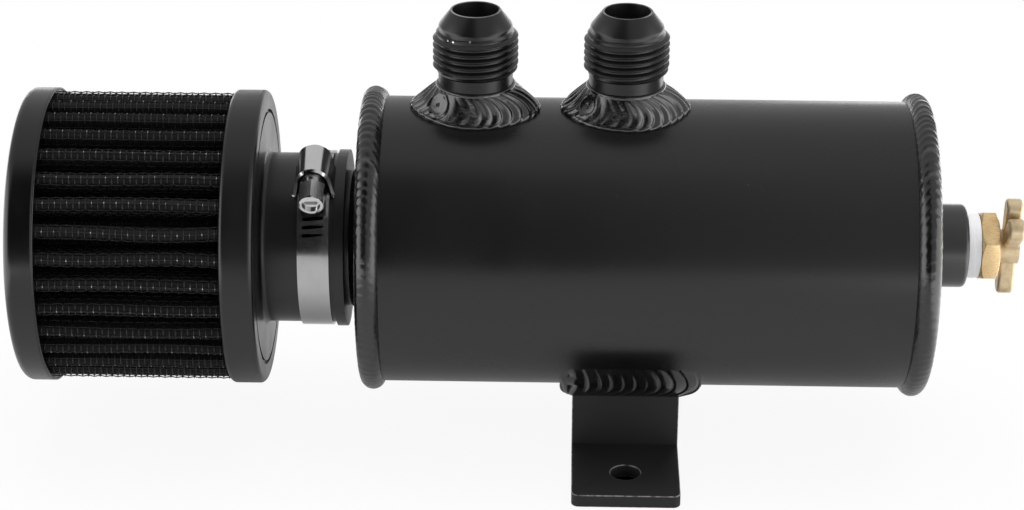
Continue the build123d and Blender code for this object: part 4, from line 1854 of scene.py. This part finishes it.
@dataclass
class WormClamp:
    """Slotted band, housing and screw that hold the filter on its spigot."""

    axis: CanAxis
    slots: int = 24
    first_slot: float = 25.5
    slot_pitch: float = 5.0
    # Where the slot faces are painted dark as shade
    shade_width: float = 0.8 * MM
    shade_reach: float = 2.912 * MM
    shade_depth: float = 0.1 * MM
    flat_within: float = 0.2
    arch: float = 3.5 * MM
    arch_from: float = 12.0
    arch_steps: int = 22
    wall: float = 0.8 * MM
    leg_spread: float = 4.2 * MM
    length: float = 9.8 * MM
    mouth_at: float = 5.5 * MM
    mouth: float = 0.9 * MM
    mouth_flare: float = 1.12
    mouth_set_back: float = 0.6 * MM
    foot_turn: float = 0.45 * MM
    foot_sunk: float = 0.9 * MM
    edge_rounding: float = 0.16 * MM
    rounded_from: float = 50.0

    def build(self) -> None:
        """Dress the band and the screw, and fold the housing."""
        band = Workpiece.copied("clamp_band_eased", "clamp_band", self.flat_within)
        self.shade_slots(band)
        band.finish(SHADE_DARKENED_BAND_STEEL, Body.CAN, Slot.CLAMP_STEEL, ["clamp_band"])
        screw = Workpiece.copied("clamp_screw_eased", "clamp_screw")
        screw.finish(STEEL, Body.CLAMP_SCREW, Slot.CLAMP_STEEL, ["clamp_screw"])
        self.fold_housing()

    def shade_slots(self, band: Workpiece) -> None:
        """Mark the walls and floors of the band's slots, which are painted near black as shade.

        Args:
            band: The band in the making.
        """
        box = Extent.of("clamp_band")
        outer = box.high.z - self.axis.z
        mark = band.mesh.faces.layers.float.new(SLOT_SHADE_MARK)
        for face in band.mesh.faces:
            spot = face.calc_center_median()
            out = Vector((self.axis.y - spot.y, spot.z - self.axis.z))
            step = (math.degrees(math.atan2(out.y, out.x)) - self.first_slot) / self.slot_pitch
            off = abs(step - round(step)) * math.radians(self.slot_pitch) * outer
            in_slot = off < self.shade_width and abs(spot.x - box.middle.x) < self.shade_reach
            sunk = out.length < outer - self.shade_depth
            if in_slot and sunk and 0 <= round(step) < self.slots:
                face[mark] = 1.0

    def fold_housing(self) -> None:
        """Fold the housing from one strip: an arch over the worm, two legs and turned-out feet."""
        joint = next(j for j in frame["joints"] if j["name"] == "clamp_screw_turn")
        centre = Vector(joint["pos_m"])
        ahead = Vector(joint["axis"]).normalized()
        side = Vector((1, 0, 0))
        out = side.cross(ahead)
        spoke = centre - Vector((centre.x, self.axis.y, self.axis.z))
        if out.dot(spoke) < 0:
            out = -out
        foot_depth = spoke.length - Extent.of("clamp_band").size.z / 2 + self.foot_sunk

        def spot(across: float, height: float, along: float) -> Vector:
            """Place beside the worm's middle."""
            return centre + side * across + out * height + ahead * along

        piece = Workpiece("clamp_housing_folded")
        back = self.mouth_at - self.length
        lean = math.radians(self.arch_from)
        first = piece.mesh.verts.new(spot(self.arch * math.cos(lean), self.arch * math.sin(lean), back))
        bmesh.ops.spin(
            piece.mesh,
            geom=[first],
            cent=centre,
            axis=side.cross(out),
            dvec=(0, 0, 0),
            angle=math.pi - 2 * lean,
            steps=self.arch_steps,
            use_merge=False,
        )
        ends = [v for v in piece.mesh.verts if len(v.link_edges) == 1]
        for end in ends:
            way = 1 if (end.co - centre).dot(side) > 0 else -1
            ankle = spot(way * self.leg_spread, -foot_depth + self.foot_turn, back)
            toe = spot(way * (self.leg_spread + self.foot_turn), -foot_depth, back)
            self.drawn(piece, self.drawn(piece, end, ankle), toe)
        strip = piece.mesh.edges[:]
        for reach, flare in ((self.length - self.mouth, 1.0), (self.mouth, self.mouth_flare)):
            made = bmesh.ops.extrude_edge_only(piece.mesh, edges=strip)["geom"]
            verts = [g for g in made if isinstance(g, bmesh.types.BMVert)]
            strip = [g for g in made if isinstance(g, bmesh.types.BMEdge) and g.is_boundary]
            strip = [e for e in strip if e.verts[0] in verts and e.verts[1] in verts]
            for vert in verts:
                offset = vert.co - centre
                along = ahead * offset.dot(ahead)
                lift = max(offset.dot(out), 0.0) / self.arch if flare > 1 else 0.0
                onward = ahead * (reach - self.mouth_set_back * lift**2)
                vert.co = centre + (offset - along) * flare + along + onward
        bmesh.ops.recalc_face_normals(piece.mesh, faces=piece.mesh.faces)
        piece.mesh.normal_update()
        outward = sum((f.normal.dot(f.calc_center_median() - centre) for f in piece.mesh.faces), 0.0)
        if outward < 0:
            bmesh.ops.reverse_faces(piece.mesh, faces=piece.mesh.faces)
        bmesh.ops.solidify(piece.mesh, geom=piece.mesh.faces[:], thickness=-self.wall)
        piece.round_edges(self.edge_rounding, steps=2, sharper_than=self.rounded_from)
        piece.finish(STEEL, Body.CAN, Slot.CLAMP_STEEL, ["clamp_housing"])

    @staticmethod
    def drawn(piece: Workpiece, start: bmesh.types.BMVert, end: Vector) -> bmesh.types.BMVert:
        """Draw an edge from a vertex to a place.

        Args:
            piece: The mesh in the making.
            start: Vertex that the edge starts from.
            end: Place of its far end.

        Returns:
            The vertex there.
        """
        made = bmesh.ops.extrude_vert_indiv(piece.mesh, verts=[start])["verts"][0]
        made.co = end
        return made


@dataclass(frozen=True)
class SoftBox:
    """A broad lamp that points at the object's middle."""

    name: str
    place: Triple
    width: float
    height: float
    power: float


@dataclass
class Studio:
    """Camera at the photographed angle, pale floor and soft light."""

    eye: Triple = (-17.52 * MM, -628.67 * MM, 355.41 * MM)
    look_down: float = 24.695
    look_left: float = 1.158
    roll: float = 0.281
    sensor: float = 36.0
    lens: float = 95.49
    floor_half: float = 4.0
    floor_colour: float = 0.9
    seen_glow: float = 0.92
    mirrored_glow: float = 0.28
    # Reach of the painted shadow round the foot, where the floor turns black
    painted_shadow_reach: Span = (6 * MM, 12 * MM)
    ambient: float = 0.55
    white: float = 0.82
    dark: float = 0.0
    dark_walls: tuple[Patch, ...] = (
        ((0.0, -1.0, 0.0), -0.15, 0.35),
        ((-0.996, -0.087, 0.0), -0.05, 0.12),
        ((0.574, -0.819, 0.0), -0.15, 0.25),
    )
    side_glow: float = 2.6
    side_boxes: tuple[Patch, ...] = (
        ((0.98, -0.2, 0.0), 0.78, 0.92),
        ((-0.98, -0.2, 0.0), 0.78, 0.92),
    )
    # Two floor strips that glow only in reflections: painted reflections of side light from a floor
    # that is no lamp
    glow_strip_right: Span = (105 * MM, 195 * MM)
    glow_strip_left: Span = (-240 * MM, -340 * MM)
    strip_glow_gain: float = 7.0
    nearest: float = 0.01
    lamps: tuple[SoftBox, ...] = (
        SoftBox("overhead_softbox", (0.05, 0.15, 1.1), width=1.2, height=0.8, power=9.0),
        SoftBox("right_softbox", (1.1, -0.35, 0.55), width=0.7, height=0.9, power=3.0),
        SoftBox("left_softbox", (-1.1, -0.25, 0.6), width=0.6, height=0.9, power=2.4),
    )

    def build(self) -> None:
        """Set the view, the floor, the world and the lamps."""
        bpy.context.scene.view_settings.view_transform = "Standard"
        self.place_camera()
        self.lay_floor()
        self.light_world()
        self.hang_lamps()

    def place_camera(self) -> None:
        """Stand the camera where the photograph was taken from."""
        data = bpy.data.cameras.new("camera")
        data.sensor_fit = "HORIZONTAL"
        data.sensor_width = self.sensor
        data.lens = self.lens
        data.clip_start = self.nearest
        camera = bpy.data.objects.new("camera", data)
        down, left, roll = (math.radians(a) for a in (self.look_down, self.look_left, self.roll))
        level = math.cos(down)
        ahead = Vector((-math.sin(left) * level, math.cos(left) * level, -math.sin(down)))
        right = Vector((math.cos(left), math.sin(left), 0))
        up = right.cross(ahead)
        right, up = (
            right * math.cos(roll) + up * math.sin(roll),
            up * math.cos(roll) - right * math.sin(roll),
        )
        turn = Matrix((right, up, -ahead)).transposed().to_4x4()
        camera.matrix_world = Matrix.Translation(self.eye) @ turn
        bpy.context.scene.collection.objects.link(camera)
        bpy.context.scene.camera = camera

    def lay_floor(self) -> None:
        """Lay a pale floor under the bracket's foot, white to the eye and with a soft shadow; round the
        foot its colour falls to black as a painted shadow, and two strips glow in reflections as
        painted light.
        """
        mesh = bmesh.new()
        bmesh.ops.create_grid(mesh, x_segments=1, y_segments=1, size=self.floor_half)
        data = bpy.data.meshes.new("floor")
        mesh.to_mesh(data)
        mesh.free()
        floor = bpy.data.objects.new("floor", data)
        bpy.context.scene.collection.objects.link(floor)
        material = bpy.data.materials.new("pale_floor")
        material.use_nodes = True
        nodes, links = material.node_tree.nodes, material.node_tree.links
        nodes.clear()
        matt = nodes.new("ShaderNodeBsdfDiffuse")
        glow = nodes.new("ShaderNodeEmission")
        mix = nodes.new("ShaderNodeMixShader")
        ray = nodes.new("ShaderNodeLightPath").outputs
        share = added(nodes, links, ray["Is Glossy Ray"], ray["Is Transmission Ray"], "MAXIMUM")
        share = added(nodes, links, share, self.mirrored_glow, "MULTIPLY")
        seen = added(nodes, links, ray["Is Camera Ray"], self.seen_glow, "MULTIPLY")
        share = added(nodes, links, share, seen, "MAXIMUM")
        spot = nodes.new("ShaderNodeTexCoord")
        away = nodes.new("ShaderNodeVectorMath")
        away.operation = "LENGTH"
        links.new(spot.outputs["Object"], away.inputs[0])
        # Painted shadow: near the foot the floor loses its glow and its colour falls to black
        beyond_painted_shadow = graded(nodes, links, away.outputs["Value"], self.painted_shadow_reach)
        share = added(nodes, links, share, beyond_painted_shadow, "MULTIPLY")
        links.new(added(nodes, links, beyond_painted_shadow, self.floor_colour, "MULTIPLY"), matt.inputs["Color"])
        # Painted reflections: two strips of the floor glow brighter for glossy rays
        across = nodes.new("ShaderNodeSeparateXYZ")
        links.new(spot.outputs["Object"], across.inputs["Vector"])
        right = graded(nodes, links, across.outputs["X"], self.glow_strip_right)
        left = graded(nodes, links, across.outputs["X"], self.glow_strip_left)
        gain = added(nodes, links, right, left, "ADD")
        gain = added(nodes, links, gain, self.strip_glow_gain, "MULTIPLY")
        gain = added(nodes, links, gain, ray["Is Glossy Ray"], "MULTIPLY")
        links.new(added(nodes, links, gain, 1.0, "ADD"), glow.inputs["Strength"])
        links.new(share, mix.inputs["Fac"])
        links.new(matt.outputs["BSDF"], mix.inputs[1])
        links.new(glow.outputs["Emission"], mix.inputs[2])
        out = nodes.new("ShaderNodeOutputMaterial")
        links.new(mix.outputs["Shader"], out.inputs["Surface"])
        data.materials.append(material)

    def light_world(self) -> None:
        """Make the world white to the eye and in reflections, with the dark room beyond the camera."""
        world = bpy.data.worlds.new("studio")
        bpy.context.scene.world = world
        world.use_nodes = True
        nodes, links = world.node_tree.nodes, world.node_tree.links
        nodes.clear()
        way = nodes.new("ShaderNodeTexCoord").outputs["Generated"]
        walls = [toward(nodes, links, way, patch) for patch in self.dark_walls]
        shade = walls[0]
        for wall in walls[1:]:
            shade = added(nodes, links, shade, wall, "MULTIPLY")
        room = nodes.new("ShaderNodeMapRange")
        room.inputs["To Min"].default_value = self.white
        room.inputs["To Max"].default_value = self.dark
        links.new(shade, room.inputs["Value"])
        lit = room.outputs["Result"]
        for patch in self.side_boxes:
            box = toward(nodes, links, way, patch)
            lit = added(nodes, links, lit, added(nodes, links, box, self.side_glow, "MULTIPLY"), "ADD")
        ray = nodes.new("ShaderNodeLightPath").outputs
        mirrored = nodes.new("ShaderNodeMix")
        links.new(ray["Is Glossy Ray"], mirrored.inputs["Factor"])
        mirrored.inputs["A"].default_value = self.ambient
        links.new(lit, mirrored.inputs["B"])
        seen = added(nodes, links, ray["Is Camera Ray"], ray["Is Transmission Ray"], "MAXIMUM")
        level = nodes.new("ShaderNodeMix")
        links.new(seen, level.inputs["Factor"])
        links.new(mirrored.outputs["Result"], level.inputs["A"])
        level.inputs["B"].default_value = 1.0
        sky = nodes.new("ShaderNodeBackground")
        links.new(level.outputs["Result"], sky.inputs["Strength"])
        out = nodes.new("ShaderNodeOutputWorld")
        links.new(sky.outputs["Background"], out.inputs["Surface"])

    def hang_lamps(self) -> None:
        """Hang a broad soft box overhead and one at each side."""
        aim = (cad_box[0] + cad_box[1]) / 2
        for box in self.lamps:
            data = bpy.data.lights.new(box.name, "AREA")
            data.shape = "RECTANGLE"
            data.size, data.size_y, data.energy = box.width, box.height, box.power
            lamp = bpy.data.objects.new(box.name, data)
            lamp.visible_glossy = False
            lamp.location = box.place
            lamp.rotation_euler = (aim - Vector(box.place)).to_track_quat("-Z", "Y").to_euler()
            bpy.context.scene.collection.objects.link(lamp)


def added(
    nodes: bpy.types.Nodes,
    links: bpy.types.NodeLinks,
    first: Socket,
    second: Socket | float,
    kind: str,
) -> Socket:
    """Join two values of a stage shader.

    Args:
        nodes: Nodes of the shader.
        links: Links of the shader.
        first: One value.
        second: The other one, or a number.
        kind: How they are joined, such as ADD or MULTIPLY.

    Returns:
        The joined value.
    """
    node = nodes.new("ShaderNodeMath")
    node.operation = kind
    links.new(first, node.inputs[0])
    if isinstance(second, float):
        node.inputs[1].default_value = second
    else:
        links.new(second, node.inputs[1])
    return node.outputs["Value"]


def graded(nodes: bpy.types.Nodes, links: bpy.types.NodeLinks, value: Socket, limits: Span) -> Socket:
    """Make a soft step of a stage shader.

    Args:
        nodes: Nodes of the shader.
        links: Links of the shader.
        value: The value that is stepped.
        limits: Where the step is 0 and where it is 1.

    Returns:
        The step.
    """
    node = nodes.new("ShaderNodeMapRange")
    node.interpolation_type = "SMOOTHSTEP"
    node.inputs["From Min"].default_value, node.inputs["From Max"].default_value = limits
    links.new(value, node.inputs["Value"])
    return node.outputs["Result"]


def toward(nodes: bpy.types.Nodes, links: bpy.types.NodeLinks, way: Socket, patch: Patch) -> Socket:
    """Mask a patch of the surroundings.

    Args:
        nodes: Nodes of the world.
        links: Links of the world.
        way: Direction that is looked in.
        patch: Direction of the patch, and the cosines between which it sets in.

    Returns:
        A mask from 0 to 1.
    """
    middle, start, end = patch
    side = nodes.new("ShaderNodeVectorMath")
    side.operation = "DOT_PRODUCT"
    side.inputs[1].default_value = middle
    links.new(way, side.inputs[0])
    return graded(nodes, links, side.outputs["Value"], (start, end))


def main() -> None:
    """Build the object's looks, piece by piece, then the studio."""
    logging.basicConfig(level=logging.INFO, format="%(name)s: %(message)s")
    axis = CanAxis.measured()
    CanShell(axis).build()
    HosePort(axis, "inlet_fitting", "inlet_weld", NICKED_BLACK, seed=3.0, crater_turn=0.62).build()
    HosePort(axis, "outlet_fitting", "outlet_weld", FITTING_BLACK, seed=4.0, crater_turn=0.61).build()
    Bracket(axis).build()
    DrainValve(axis).build()
    BreatherFilter(axis).build()
    WormClamp(axis).build()
    Studio().build()


if __name__ == "__main__":
    main()
